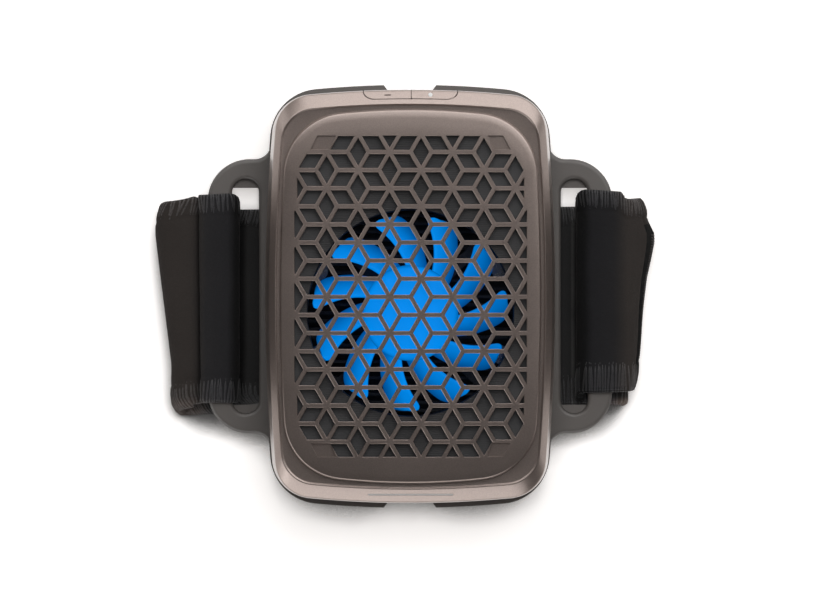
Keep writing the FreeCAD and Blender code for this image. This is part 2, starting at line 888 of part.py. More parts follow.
# ---------------------------------------------------------------- front panel
blank = new_body("panel_blank")
pad(
    blank,
    bowed(sketch(blank, panel_seat), panel_w, panel_l, panel_r, panel_c),
    panel_edge - panel_seat,
)
doc.recompute()
loft(
    blank,
    bowed(sketch(blank, panel_edge), panel_w, panel_l, panel_r, panel_c),
    [bowed(sketch(blank, panel_z - 0.4), panel_w - 2.6, panel_l - 3.2, panel_r - 1.3, panel_c - 2)],
)
doc.recompute()
loft(
    blank,
    bowed(sketch(blank, panel_z - 0.4), panel_w - 2.6, panel_l - 3.2, panel_r - 1.3, panel_c - 2),
    [bowed(sketch(blank, panel_z), panel_w - 6.0, panel_l - 9.0, panel_r - 3.0, panel_c - 5)],
)
doc.recompute()
pocket(blank, rrect(sketch(blank, panel_seat + 0.9), 66.4, 94.4, 8.6), 0.9)


def shrink(pts, d):
    """A convex polygon moved in by d on every side, corners counter-clockwise."""
    n = len(pts)
    out = []
    for i in range(n):
        p0, p1, p2 = pts[i - 1], pts[i], pts[(i + 1) % n]
        a = (p1[0] - p0[0], p1[1] - p0[1])
        b = (p2[0] - p1[0], p2[1] - p1[1])
        la, lb = math.hypot(*a), math.hypot(*b)
        na, nb = (-a[1] / la, a[0] / la), (-b[1] / lb, b[0] / lb)
        k = 1 + na[0] * nb[0] + na[1] * nb[1]
        out.append(
            (p1[0] + d * (na[0] + nb[0]) / k, p1[1] + d * (na[1] + nb[1]) / k)
        )
    return out


def clip(pts, nx, ny, c):
    """The part of a polygon where nx*x + ny*y <= c."""
    out = []
    for i in range(len(pts)):
        p, q = pts[i], pts[(i + 1) % len(pts)]
        fp, fq = nx * p[0] + ny * p[1] - c, nx * q[0] + ny * q[1] - c
        if fp <= 0:
            out.append(p)
        if (fp < 0 < fq) or (fq < 0 < fp):
            k = fp / (fp - fq)
            out.append((p[0] + k * (q[0] - p[0]), p[1] + k * (q[1] - p[1])))
    clean = []
    for p in out:
        if not clean or math.hypot(p[0] - clean[-1][0], p[1] - clean[-1][1]) > 1e-6:
            clean.append(p)
    if len(clean) > 1 and math.hypot(clean[0][0] - clean[-1][0], clean[0][1] - clean[-1][1]) < 1e-6:
        clean.pop()
    return clean


def area(pts):
    return 0.5 * sum(
        pts[i][0] * pts[(i + 1) % len(pts)][1] - pts[(i + 1) % len(pts)][0] * pts[i][1]
        for i in range(len(pts))
    )


def grille_cells():
    """Tumbling-block cells: each is a rhombus between two six-way stars."""
    c, s_, half = cell_x.n, cell_y.n, rib.n / 2
    open_ = []
    # one closed cell fills each corner of the field
    blind = [
        [(-28.07, 41.2), (-22.7, 41.2), (-20.9, 45.1), (-26.2, 45.1)],
        [(23.4, 41.2), (28.07, 41.2), (26.0, 45.1), (21.6, 45.1)],
        [(-28.07, -41.2), (-26.2, -45.1), (-20.7, -45.1), (-22.5, -41.2)],
        [(22.9, -41.0), (21.6, -45.0), (26.0, -45.0), (28.07, -41.0)],
    ]
    for k in range(-6, 6):
        x = col_x.n + c * k
        shift = 0 if k % 2 == 0 else -s_ / 2
        for n in range(-2, 12):
            y = star_y.n - s_ * n + shift
            for quad in (
                [(x, y), (x + c / 3, y + s_ / 2), (x, y + s_), (x - c / 3, y + s_ / 2)],
                [(x, y), (x + 2 * c / 3, y), (x + c, y + s_ / 2), (x + c / 3, y + s_ / 2)],
                [(x, y), (x + c / 3, y - s_ / 2), (x + c, y - s_ / 2), (x + 2 * c / 3, y)],
            ):
                p = shrink(quad, half)
                my = sum(q[1] for q in p) / len(p)
                lim_x = field_x.n if abs(my) < 25.9 else field_x2.n
                for nx, ny, lim in (
                    (1, 0, lim_x),
                    (-1, 0, lim_x),
                    (0, 1, field_top.n),
                    (0, -1, -field_bot.n),
                ):
                    p = clip(p, nx, ny, lim)
                    if len(p) < 3:
                        break
                if len(p) < 3 or area(p) < 1.2:
                    continue
                mx = sum(q[0] for q in p) / len(p)
                my = sum(q[1] for q in p) / len(p)
                if abs(mx) + abs(my) > 70.5 or (abs(mx) > 21.2 and abs(my) > 42):
                    continue
                open_.append(p)
    return open_, blind


def prisms(name, cells, z0, z1):
    solids = []
    for p in cells:
        w = Part.makePolygon([V(q[0], q[1], z0) for q in p] + [V(p[0][0], p[0][1], z0)])
        solids.append(Part.Face(w).extrude(V(0, 0, z1 - z0)))
    f = doc.addObject("Part::Feature", name)
    f.Shape = Part.makeCompound(solids)
    return f


open_cells, blind_cells = grille_cells()
print("grille cells:", len(open_cells), "open,", len(blind_cells), "blind")
through = prisms("grille_openings", open_cells, panel_seat.n - 1, panel_z.n + 1)
shallow = prisms("grille_recesses", blind_cells, panel_z.n - 0.9, panel_z.n + 1)
panel_open = cut("panel_open", blank, through)
panel = cut("front_panel", panel_open, shallow)
keep(panel, "front_panel")

# ---------------------------------------------------------------- air screen
screen = new_body("air_screen")
sk = sketch(screen, panel_seat - 0.9)
rrect(sk, 66.0, 94.0, 8.4)
circle(sk, fan_bore, 0, fan_y)
pad(screen, sk, 0.8)
louvre = pocket(
    screen, rrect(sketch(screen, panel_seat), 60.0, 1.1, 0.5, 0, 27.4), 2.0
)
linear(screen, louvre, "Y_Axis", 16.8, 8)
louvre2 = pocket(
    screen, rrect(sketch(screen, panel_seat), 56.0, 1.1, 0.5, 0, -44.2), 2.0
)
linear(screen, louvre2, "Y_Axis", 7.2, 4)
keep(screen)

# ---------------------------------------------------------------- fan
frame = new_body("fan_frame")
sk = sketch(frame, fan_z)
rrect(sk, fan_side, fan_side, 4.0, 0, fan_y)
circle(sk, fan_bore, 0, fan_y)
for sx in (-1, 1):
    for sy in (-1, 1):
        circle(sk, 3.4, 25.0 * sx, fan_y + 25.0 * sy)
pad(frame, sk, fan_h)
doc.recompute()
pad(frame, circle(sketch(frame, fan_z), 25.0, 0, fan_y), 2.4)
doc.recompute()
for k in range(4):
    a = math.radians(45 + 90 * k)
    c0, s0 = math.cos(a), math.sin(a)
    w = 1.5
    r0, r1 = 11.5, 29.6
    pts = []
    for r, q in ((r0, -w), (r1, -w), (r1, w), (r0, w)):
        pts.append((r * c0 - q * s0, fan_y + (r * s0 + q * c0)))
    pad(frame, poly(sketch(frame, fan_z), pts), 2.4)
    doc.recompute()
pad(frame, circle(circle(sketch(frame, fan_z + 2.4), 7.6, 0, fan_y), 5.04, 0, fan_y), 9.0)
doc.recompute()
bored = sketch(frame, fan_z + fan_h)
for sx in (-1, 1):
    for sy in (-1, 1):
        circle(bored, 6.2, 25.0 * sx, fan_y + 25.0 * sy)
pocket(frame, bored, 2.0)
ledholes = sketch(frame, fan_z + fan_h)
for sx in (-1, 1):
    for sy in (-1, 1):
        rect(ledholes, 3.2, 3.2, 20.6 * sx, fan_y + 23.4 * sy)
pocket(frame, ledholes, 4.2)
keep(frame)

bearing = new_body("fan_bearing")
sk = sketch(bearing, fan_z + 2.4)
circle(sk, 5.0, 0, fan_y)
circle(sk, 2.06, 0, fan_y)
pad(bearing, sk, 9.0)
keep(bearing)

stator = new_body("fan_stator")
sk = sketch(stator, fan_z + 3.4)
circle(sk, 10.6, 0, fan_y)
circle(sk, 7.7, 0, fan_y)
pad(stator, sk, 6.0)
doc.recompute()
for k in range(4):
    a = math.radians(90 * k)
    c0, s0 = math.cos(a), math.sin(a)
    pts = []
    for r, q in ((4.9, -1.6), (7.9, -1.6), (7.9, -3.2), (9.0, -3.2), (9.0, 3.2), (7.9, 3.2), (7.9, 1.6), (4.9, 1.6)):
        pts.append((r * c0 - q * s0, fan_y + (r * s0 + q * c0)))
    pad(stator, poly(sketch(stator, fan_z + 3.9), pts), 5.0)
    doc.recompute()
keep(stator)

rotor = new_body("fan_rotor")
sk = sketch(rotor, 0)
# the hub is turned: cup wall, domed top and shaft boss; blades grow from its wall
cup = sketch(rotor, place=Placement(V(0, 0, 0), Rotation(V(1, 0, 0), 90)))
hz0, hz1 = fan_z + 3.2, fan_z + 14.2
poly(
    cup,
    [
        (1.0, hz1),
        (1.0, hz1 - 2.4),
        (2.3, hz1 - 2.4),
        (2.3, hz1 - 1.2),
        (hub_d / 2 - 1.2, hz1 - 1.2),
        (hub_d / 2 - 1.2, hz0),
        (hub_d / 2, hz0),
        (hub_d / 2, hz1 - 0.8),
        (hub_d / 2 - 0.8, hz1),
    ],
)
rotor.removeObject(sk)
doc.removeObject(sk.Name)
turned = rotor.newObject("PartDesign::Revolution", "rotor_cup")
turned.Profile = cup
turned.ReferenceAxis = (cup, ["V_Axis"])
turned.Angle = 360
doc.recompute()
# a blade: three sections on radial stations, swept round as they go out
blade_sections = []
zmid = fan_z.n + 8.4
for r, theta, chord, pitch, thick in (
    (12.9, 0.0, 8.6, 47.0, 1.3),
    (20.5, 9.0, 10.0, 40.0, 1.15),
    (27.4, 20.0, 10.6, 33.0, 0.9),
):
    th = math.radians(theta)
    radial = V(math.cos(th), math.sin(th), 0)
    tang = V(-math.sin(th), math.cos(th), 0)
    m = FreeCAD.Matrix(
        tang.x, 0, radial.x, radial.x * r,
        tang.y, 0, radial.y, radial.y * r,
        0, 1, 0, zmid,
        0, 0, 0, 1,
    )
    # the sketch's own x runs along the tangent, its y up, its normal along the radius
    place = Placement(m)
    s = sketch(rotor, place=place)
    p = math.radians(pitch)
    ux, uy = math.cos(p), math.sin(p)
    nx, ny = -uy, ux
    pts = []
    for u, q in ((-0.5, -0.05), (-0.2, -0.5), (0.2, -0.5), (0.5, -0.1), (0.5, 0.1), (0.2, 0.5), (-0.2, 0.5), (-0.5, 0.15)):
        bow = 0.9 * (0.25 - u * u) * 1.2
        pts.append((chord * u * ux + (thick * q + bow) * nx, chord * u * uy + (thick * q + bow) * ny))
    poly(s, pts)
    blade_sections.append(s)
blade = loft(rotor, blade_sections[0], blade_sections[1:], ruled=False)
polar(rotor, blade, blades)
rotor.Placement = Placement(V(0, fan_y.n, 0), Rotation())
rotor.setExpression("Placement.Base.y", fan_y.text)
keep(rotor)

shaft = rod("fan_shaft", 0, fan_y, fan_z + 2.7, 2.0, fan_h - 2.7 - 0.8)
keep(shaft)

magnet = new_body("fan_magnet")
sk = sketch(magnet, fan_z + 3.6)
circle(sk, 24.5, 0, fan_y)
circle(sk, 20.2, 0, fan_y)
pad(magnet, sk, 6.4)
keep(magnet)

leds = []
for i, (sx, sy) in enumerate(((-1, -1), (1, -1), (-1, 1), (1, 1))):
    leds.append(
        box(
            "fan_led_%d" % i,
            20.6 * sx - 1.5, fan_y + (23.4 * sy - 1.5), fan_z + fan_h - 4.2,
            20.6 * sx + 1.5, fan_y + (23.4 * sy + 1.5), fan_z + fan_h - 2.4,
        )
    )
keep(group("fan_leds", leds))

screws = []
for i, (sx, sy) in enumerate(((-1, -1), (1, -1), (-1, 1), (1, 1))):
    shank = rod("fan_screw_shank_%d" % i, 25.0 * sx, fan_y + 25.0 * sy, fan_z + fan_h - 20.0, 2.9, 18.4)
    head = rod("fan_screw_head_%d" % i, 25.0 * sx, fan_y + 25.0 * sy, fan_z + fan_h - 2.0, 5.6, 1.7)
    cross = box("fan_screw_slot_%d" % i, 25.0 * sx - 2.0, fan_y + (25.0 * sy - 0.35), fan_z + fan_h - 0.9, 25.0 * sx + 2.0, fan_y + (25.0 * sy + 0.35), fan_z + fan_h + 1)
    cross2 = box("fan_screw_slotb_%d" % i, 25.0 * sx - 0.35, fan_y + (25.0 * sy - 2.0), fan_z + fan_h - 0.9, 25.0 * sx + 0.35, fan_y + (25.0 * sy + 2.0), fan_z + fan_h + 1)
    screws.append(cut("fan_screw_%d" % i, fuse("fan_screw_blank_%d" % i, [shank, head]), fuse("fan_screw_cross_%d" % i, [cross, cross2])))
keep(group("fan_screws", screws))

# ---------------------------------------------------------------- heat path
plate = new_body("contact_plate")
face_pad = pad(plate, rrect(sketch(plate, pad_z), pad_w, pad_l, 8.0, 0, fan_y), 8.6 - pad_z)
doc.recompute()
dress(plate, "Fillet", face_pad, edges(face_pad, lambda e: at_z(e, pad_z.n)), 0.9)
pad(plate, rrect(sketch(plate, 8.6), pad_w + 6, pad_l + 6, 10.0, 0, fan_y), 1.5)
threads = sketch(plate, 10.1)
for sx in (-1, 1):
    for sy in (-1, 1):
        circle(threads, 2.6, 26.0 * sx, fan_y + 12.0 * sy)
pocket(plate, threads, 5.0)
keep(plate)

seal = new_body("plate_seal")
sk = sketch(seal, z_floor)
rrect(sk, pad_w + 5.6, pad_l + 5.6, 9.8, 0, fan_y)
rrect(sk, pad_w + 1.4, pad_l + 1.4, 8.7, 0, fan_y)
pad(seal, sk, 0.6)
keep(seal)

peltier = new_body("peltier_module")
pad(peltier, rect(sketch(peltier, 10.1), 40.0, 40.0, 0, fan_y), 0.9)
doc.recompute()
pad(peltier, rect(sketch(peltier, 11.0), 38.4, 38.4, 0, fan_y), 1.8)
doc.recompute()
pad(peltier, rect(sketch(peltier, 12.8), 40.0, 40.0, 0, fan_y), 0.9)
keep(peltier)

foam = new_body("insulation_frame")
sk = sketch(foam, 10.1)
rrect(sk, 62.0, 63.0, 6.0, 0, fan_y)
rect(sk, 40.6, 40.6, 0, fan_y)
for sx in (-1, 1):
    for sy in (-1, 1):
        circle(sk, 3.4, 26.0 * sx, fan_y + 12.0 * sy)
pad(foam, sk, 3.5)
notch = sketch(foam, 13.6)
rect(notch, 9.0, 4.0, -25.0, fan_y - 27.0)
pocket(foam, notch, 3.5)
leadway = sketch(foam, 13.6)
rect(leadway, 7.0, 12.6, 12.0, fan_y + 26.2)
pocket(foam, leadway, 3.5)
keep(foam)

bead = rod("thermistor_bead", -27.6, fan_y - 27.0, 11.3, 2.4, 5.0, "x")
keep(bead, "thermistor")

sink = new_body("heat_sink")
pad(sink, rrect(sketch(sink, 13.7), 60.0, 62.0, 2.0, 0, fan_y), 2.8)
doc.recompute()
fin = pad(sink, rect(sketch(sink, 16.5), 60.0, 0.8, 0, fan_y - 29.9), 9.3)
linear(sink, fin, "Y_Axis", 59.8, 27)
# room for the screws, cut between fins so that no fin is left as a sliver
for sx in (-1, 1):
    for sy in (-1, 1):
        wells = sketch(sink, 25.8 + 1)
        rect(wells, 8.2, 7.0, 26.6 * sx, fan_y + 11.5 * sy)
        pocket(sink, wells, 10.3)
        wells = sketch(sink, 25.8 + 1)
        rect(wells, 3.6, 3.5, 25.0 * sx, fan_y + 25.3 * sy)
        pocket(sink, wells, 6.4)
wells = sketch(sink, 16.5)
for sx in (-1, 1):
    for sy in (-1, 1):
        circle(wells, 3.2, 26.0 * sx, fan_y + 12.0 * sy)
pocket(sink, wells, 2.8)
keep(sink)

screws = []
for i, (sx, sy) in enumerate(((-1, -1), (1, -1), (-1, 1), (1, 1))):
    shank = rod("sink_screw_shank_%d" % i, 26.0 * sx, fan_y + 12.0 * sy, 6.4, 2.5, 10.5)
    head = rod("sink_screw_head_%d" % i, 26.0 * sx, fan_y + 12.0 * sy, 16.55, 5.4, 2.0)
    screws.append(fuse("sink_screw_%d" % i, [shank, head]))
keep(group("heat_sink_screws", screws))

# ---------------------------------------------------------------- battery and boards
cell = new_body("battery_pack")
base = pad(cell, rrect(sketch(cell, 10.6), 52.0, 23.6, 3.0, 0, 40.2), 17.2)
doc.recompute()
dress(cell, "Fillet", base, edges(base, lambda e: at_z(e, 10.6) or at_z(e, 27.8)), 2.2)
keep(cell)

foam_pad = new_body("battery_pad")
pad(foam_pad, rrect(sketch(foam_pad, 27.85), 44.0, 18.0, 2.0, 0, 40.2), 1.2)
keep(foam_pad)

board = new_body("main_board")
pad(board, rrect(sketch(board, 29.1), 52.0, 23.0, 1.5, 0, 39.3), 1.6)
keep(board)
parts_on = []
for i, (x0, y0, w, l, h) in enumerate(
    (
        (-20, 31, 9, 9, 1.2),
        (-6, 30, 7, 7, 3.0),
        (3, 30, 7, 7, 3.0),
        (13, 30, 10, 5, 4.2),
        (-22, 43, 5, 4, 1.0),
        (-14, 43, 4, 5, 1.6),
        (-4, 41, 8, 6, 1.1),
        (8, 40, 5, 5, 2.0),
        (16, 38, 8, 9, 5.0),
    )
):
    parts_on.append(box("chip_%d" % i, x0, y0, 30.72, x0 + w, y0 + l, 30.72 + h))
keep(group("board_parts", parts_on))

keys = new_body("button_board")
pad(keys, rect(sketch(keys, -52.0, "XZ_Plane"), 27.0, 7.6, 0, 35.9), 1.0)
keep(keys)
tacts = []
for i, sx in enumerate((-1, 1)):
    b = box("switch_body_%d" % i, 6.6 * sx - 2.4, 52.02, 35.2, 6.6 * sx + 2.4, 53.0, 39.6)
    p = rod("switch_plunger_%d" % i, 6.6 * sx, 52.9, 37.4, 2.2, 0.5, "y")
    tacts.append(fuse("switch_%d" % i, [b, p]))
keep(group("button_switches", tacts))

# buttons: slices of the housing's outer skin on thin flanges with a push stem
form_l = new_body("button_form_left")
outer_form(form_l)
form_r = new_body("button_form_right")
outer_form(form_r)


def button(name, side, form):
    b = new_body(name + "_block")
    s = sketch(b, -(body_l / 2 + 1), "XZ_Plane")
    h_ = button_hi - button_lo
    rrect(s, button_w, h_, 1.2, (button_mid + button_w / 2) * side, (button_hi + button_lo) / 2)
    pad(b, s, 4.7)
    doc.recompute()
    cap = common(name + "_cap", form, b)
    stem = rod(name + "_stem", 6.6 * side, 54.1, 37.4, 3.0, 2.0, "y")
    return fuse(name, [cap, stem])


left_btn = button("button_left", -1, form_l)
keep(left_btn, "button_left")
right_blank = button("button_right_blank", 1, form_r)
lens_hole = rod("lens_hole", 5.6, 56.65, 40.0, 1.2, 5.0)
right_btn = cut("button_right", right_blank, lens_hole)
keep(right_btn, "button_right")
lens_form = new_body("lens_form")
outer_form(lens_form)
lens = common("button_lens", lens_form, rod("lens_rod", 5.6, 56.65, 40.05, 1.14, 4.0))
keep(lens, "button_lens")

# ---------------------------------------------------------------- charging port
usb_board = new_body("port_board")
pad(usb_board, rrect(sketch(usb_board, 8.7), 20.0, 10.2, 1.0, 0, -49.4), 1.2)
keep(usb_board)
socket = new_body("charging_socket")
s = sketch(socket, low_l / 2 - 0.2, "XZ_Plane")
rrect(s, 8.94, 3.2, 1.55, 0, usb_z)
pad(socket, s, 7.4, reverse=True)
s = sketch(socket, low_l / 2 - 0.2, "XZ_Plane")
rrect(s, 8.34, 2.6, 1.25, 0, usb_z)
pocket(socket, s, 6.4)
s = sketch(socket, low_l / 2 - 0.9, "XZ_Plane")
rect(s, 6.6, 0.7, 0, usb_z)
pad(socket, s, 6.0, reverse=True)
keep(socket)

# ---------------------------------------------------------------- status light
bar_form = new_body("light_form")
outer_form(bar_form)
bar_block = new_body("light_block")
pad(bar_block, rrect(sketch(bar_block, z_shoulder + 1.6), 23.8, 0.7, 0.34, 0, led_y), 6.0)
doc.recompute()
bar_cap = common("light_cap", bar_form, bar_block)
bar_neck = box("light_neck", -11.5, led_y - 0.35, z_shoulder + 0.1, 11.5, led_y + 0.35, z_shoulder + 1.8)
bar_foot = box("light_foot", -11.5, led_y - 0.35, z_shoulder - 0.4, 11.5, led_y + 1.6, z_shoulder + 0.5)
light = fuse("status_light", [bar_cap, bar_neck, bar_foot])
keep(light, "status_light")
strip = new_body("status_board")
pad(strip, rect(sketch(strip, 36.4), 24.0, 2.6, 0, -53.4), 1.0)
keep(strip)

# ---------------------------------------------------------------- shell screws
screws = []
for i, (sx, sy) in enumerate(((-1, -1), (1, -1), (-1, 1), (1, 1))):
    x, y = screw_x * sx, screw_y * sy
    shank = rod("shell_screw_shank_%d" % i, x, y, z_rear + 3.3, 2.0, 20.0)
    head = rod("shell_screw_head_%d" % i, x, y, z_rear + 1.5, 4.2, 1.8)
    hex_ = rod("shell_screw_socket_%d" % i, x, y, z_rear + 1.0, 1.6, 1.6)
    screws.append(cut("shell_screw_%d" % i, fuse("shell_screw_blank_%d" % i, [shank, head]), hex_))
keep(group("shell_screws", screws))


# ---------------------------------------------------------------- leads
def tube(name, pts, radii, d):
    """A lead: straight runs joined by tangent arcs, swept with a round section."""
    P = [V(*p) for p in pts]
    segs = []
    last = P[0]
    for i in range(1, len(P) - 1):
        d0 = P[i].sub(P[i - 1])
        d1 = P[i + 1].sub(P[i])
        d0.normalize()
        d1.normalize()
        ang = math.acos(max(-1, min(1, d0.dot(d1))))
        r = radii[i - 1]
        tl = r * math.tan(ang / 2)
        a = P[i].sub(d0 * tl)
        b = P[i].add(d1 * tl)
        inward = d1.sub(d0)
        inward.normalize()
        centre = P[i].add(inward * (r / math.cos(ang / 2)))
        m = centre.sub(inward * r)
        if a.sub(last).Length > 1e-6:
            segs.append(Part.LineSegment(last, a).toShape())
        segs.append(Part.Arc(a, m, b).toShape())
        last = b
    segs.append(Part.LineSegment(last, P[-1]).toShape())
    path = Part.Wire(segs)
    axis = P[1].sub(P[0])
    ring = Part.Wire([Part.makeCircle(d / 2, P[0], axis)])
    pipe = path.makePipeShell([ring], True, True)
    want = math.pi * d * d / 4 * path.Length
    if abs(pipe.Volume - want) > 0.02 * want:
        raise RuntimeError("%s: %.1f against %.1f" % (name, pipe.Volume, want))
    return pipe


def leads(name, shapes):
    f = doc.addObject("Part::Feature", name)
    f.Label = name
    f.Shape = shapes[0] if len(shapes) == 1 else Part.makeCompound(shapes)
    return keep(f)


fy = fan_y.n
leads(
    "peltier_leads",
    [
        tube("lead", [(x, fy + 20.15, 11.9), (x, 27.3, 11.9), (x, 27.3, 28.9)], [1.1], 1.1)
        for x in (11.0, 13.4)
    ],
)
leads(
    "battery_leads",
    [
        tube("lead", [(26.1, y, 22.0), (28.3, y, 22.0), (28.3, y, 33.4), (24.1, y, 33.4)], [1.5, 1.5], 1.2)
        for y in (39.6, 42.0)
    ],
)
leads(
    "fan_leads",
    [
        tube("lead", [(x, fy + 30.1, 34.4), (x, 35.0, 34.4), (x, 35.0, 32.0)], [1.1], 1.0)
        for x in (-17.0, -15.0)
    ],
)

doc.recompute()

# ---------------------------------------------------------------- checks and files
bad = [o.Name for o in doc.Objects if "Invalid" in o.State or "Error" in o.State]
if bad:
    raise RuntimeError("failed: %s" % bad)
labels = set()
for obj in named:
    if obj.Label in labels:
        raise RuntimeError("label used twice: " + obj.Label)
    labels.add(obj.Label)
    if obj.Shape.isNull() or not obj.Shape.isValid() or not obj.Shape.Solids:
        raise RuntimeError("bad shape: " + obj.Label)

os.makedirs("parts", exist_ok=True)
for old in os.listdir("parts"):
    if old.endswith(".step"):
        os.remove(os.path.join("parts", old))
for obj in named:
    obj.Shape.exportStep(os.path.join("parts", obj.Label + ".step"))
    b = obj.Shape.BoundBox
    print(
        "%-18s solids %2d  x %7.2f %7.2f  y %7.2f %7.2f  z %6.2f %6.2f  vol %9.1f"
        % (obj.Label, len(obj.Shape.Solids), b.XMin, b.XMax, b.YMin, b.YMax, b.ZMin, b.ZMax, obj.Shape.Volume)
    )
print("nodes:", len(named))
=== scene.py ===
"""Strap-on hot and cold therapy unit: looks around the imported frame."""
import math
import random

import bmesh
import bpy
import numpy as np
from mathutils import Vector, Matrix, geometry, noise


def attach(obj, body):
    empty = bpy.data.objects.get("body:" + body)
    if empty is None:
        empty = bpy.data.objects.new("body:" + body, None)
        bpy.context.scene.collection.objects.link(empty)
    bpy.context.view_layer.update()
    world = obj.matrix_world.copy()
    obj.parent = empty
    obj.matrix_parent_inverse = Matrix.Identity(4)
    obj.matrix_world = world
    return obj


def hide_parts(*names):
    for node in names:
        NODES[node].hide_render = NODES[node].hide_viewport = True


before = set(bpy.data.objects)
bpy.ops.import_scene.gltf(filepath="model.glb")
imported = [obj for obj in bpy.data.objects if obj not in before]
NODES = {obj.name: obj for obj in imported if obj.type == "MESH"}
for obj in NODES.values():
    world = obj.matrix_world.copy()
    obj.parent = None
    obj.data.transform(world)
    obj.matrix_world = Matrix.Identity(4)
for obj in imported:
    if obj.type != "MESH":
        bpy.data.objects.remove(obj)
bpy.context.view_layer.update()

MM = 0.001
scene = bpy.context.scene
V = Vector


# ---------------------------------------------------------------- camera
def make_camera():
    cam = bpy.data.cameras.new("camera")
    cam.lens = 300.0
    cam.sensor_width = 36.0
    cam.clip_start = 0.05
    cam.clip_end = 20.0
    ob = bpy.data.objects.new("camera", cam)
    scene.collection.objects.link(ob)
    target = V((-0.58, 0.24, 44.0)) * MM
    dist = 1.911
    tilt = math.radians(-0.3)
    back = V((math.sin(tilt), 0.0, math.cos(tilt)))
    ob.location = target + back * dist
    # the picture's up is +Y
    z = back.normalized()
    x = V((0, 1, 0)).cross(z).normalized()
    y = z.cross(x)
    ob.matrix_world = Matrix.Translation(ob.location) @ Matrix((x, y, z)).transposed().to_4x4()
    scene.camera = ob
    return ob


make_camera()


# ---------------------------------------------------------------- materials
class Mat:
    def __init__(self, name, color=(0.5, 0.5, 0.5), rough=0.5, metal=0.0, spec=0.5):
        self.m = bpy.data.materials.new(name)
        self.m.use_nodes = True
        self.t = self.m.node_tree
        self.t.nodes.clear()
        self.out = self.n("ShaderNodeOutputMaterial")
        self.b = self.n("ShaderNodeBsdfPrincipled")
        self.t.links.new(self.b.outputs[0], self.out.inputs[0])
        self.set("Base Color", (*color, 1.0))
        self.set("Roughness", rough)
        self.set("Metallic", metal)
        self.set("Specular IOR Level", spec)
        self.tc = None

    def n(self, kind, **props):
        node = self.t.nodes.new(kind)
        for k, v in props.items():
            setattr(node, k, v)
        return node

    def set(self, name, value):
        self.b.inputs[name].default_value = value

    def link(self, a, b):
        self.t.links.new(a, b)

    def obj(self):
        if self.tc is None:
            self.tc = self.n("ShaderNodeTexCoord")
        return self.tc.outputs["Object"]

    def mapped(self, scale=(1, 1, 1), loc=(0, 0, 0), rot=(0, 0, 0), src=None):
        mp = self.n("ShaderNodeMapping")
        mp.inputs["Scale"].default_value = scale
        mp.inputs["Location"].default_value = loc
        mp.inputs["Rotation"].default_value = rot
        self.link(src or self.obj(), mp.inputs["Vector"])
        return mp.outputs[0]

    def noise(self, scale, detail=3.0, rough=0.55, vec=None, dist=0.0):
        t = self.n("ShaderNodeTexNoise")
        t.inputs["Scale"].default_value = scale
        t.inputs["Detail"].default_value = detail
        t.inputs["Roughness"].default_value = rough
        t.inputs["Distortion"].default_value = dist
        self.link(vec or self.obj(), t.inputs["Vector"])
        return t.outputs["Fac"]

    def voronoi(self, scale, vec=None, feature="F1", out="Distance", randomness=1.0):
        t = self.n("ShaderNodeTexVoronoi", feature=feature)
        t.inputs["Scale"].default_value = scale
        t.inputs["Randomness"].default_value = randomness
        self.link(vec or self.obj(), t.inputs["Vector"])
        return t.outputs[out]

    def wave(self, scale, vec=None, direction="X", profile="SIN", dist=0.0, detail=0.0):
        t = self.n("ShaderNodeTexWave", wave_type="BANDS", bands_direction=direction, wave_profile=profile)
        t.inputs["Scale"].default_value = scale
        t.inputs["Distortion"].default_value = dist
        t.inputs["Detail"].default_value = detail
        self.link(vec or self.obj(), t.inputs["Vector"])
        return t.outputs["Fac"]

    def math(self, op, a, b=None, clamp=False):
        t = self.n("ShaderNodeMath", operation=op, use_clamp=clamp)
        for i, v in enumerate((a, b)):
            if v is None:
                continue
            if isinstance(v, (int, float)):
                t.inputs[i].default_value = v
            else:
                self.link(v, t.inputs[i])
        return t.outputs[0]

    def ramp(self, fac, stops, interp="LINEAR"):
        r = self.n("ShaderNodeValToRGB")
        r.color_ramp.interpolation = interp
        e = r.color_ramp.elements
        while len(e) < len(stops):
            e.new(0.5)
        for el, (p, c) in zip(e, stops):
            el.position = p
            el.color = (*c, 1.0) if len(c) == 3 else c
        self.link(fac, r.inputs[0])
        return r.outputs[0]

    def range(self, v, a0, a1, b0, b1, smooth=False):
        r = self.n("ShaderNodeMapRange", interpolation_type="SMOOTHSTEP" if smooth else "LINEAR")
        for i, x in enumerate((a0, a1, b0, b1)):
            r.inputs[i + 1].default_value = x
        self.link(v, r.inputs[0])
        return r.outputs[0]

    def mix(self, fac, a, b, kind="MIX"):
        m = self.n("ShaderNodeMix", data_type="RGBA", blend_type=kind)
        for sock, v in ((m.inputs[0], fac), (m.inputs[6], a), (m.inputs[7], b)):
            if isinstance(v, (int, float)):
                sock.default_value = v
            elif isinstance(v, tuple):
                sock.default_value = (*v, 1.0) if len(v) == 3 else v
            else:
                self.link(v, sock)
        return m.outputs[2]

    def bump(self, height, strength=0.3, distance=0.0001, normal=None):
        b = self.n("ShaderNodeBump")
        b.inputs["Strength"].default_value = strength
        b.inputs["Distance"].default_value = distance
        self.link(height, b.inputs["Height"])
        if normal is not None:
            self.link(normal, b.inputs["Normal"])
        self.link(b.outputs[0], self.b.inputs["Normal"])
        return b.outputs[0]

    def color(self, sock):
        self.link(sock, self.b.inputs["Base Color"])

    def roughness(self, sock):
        self.link(sock, self.b.inputs["Roughness"])


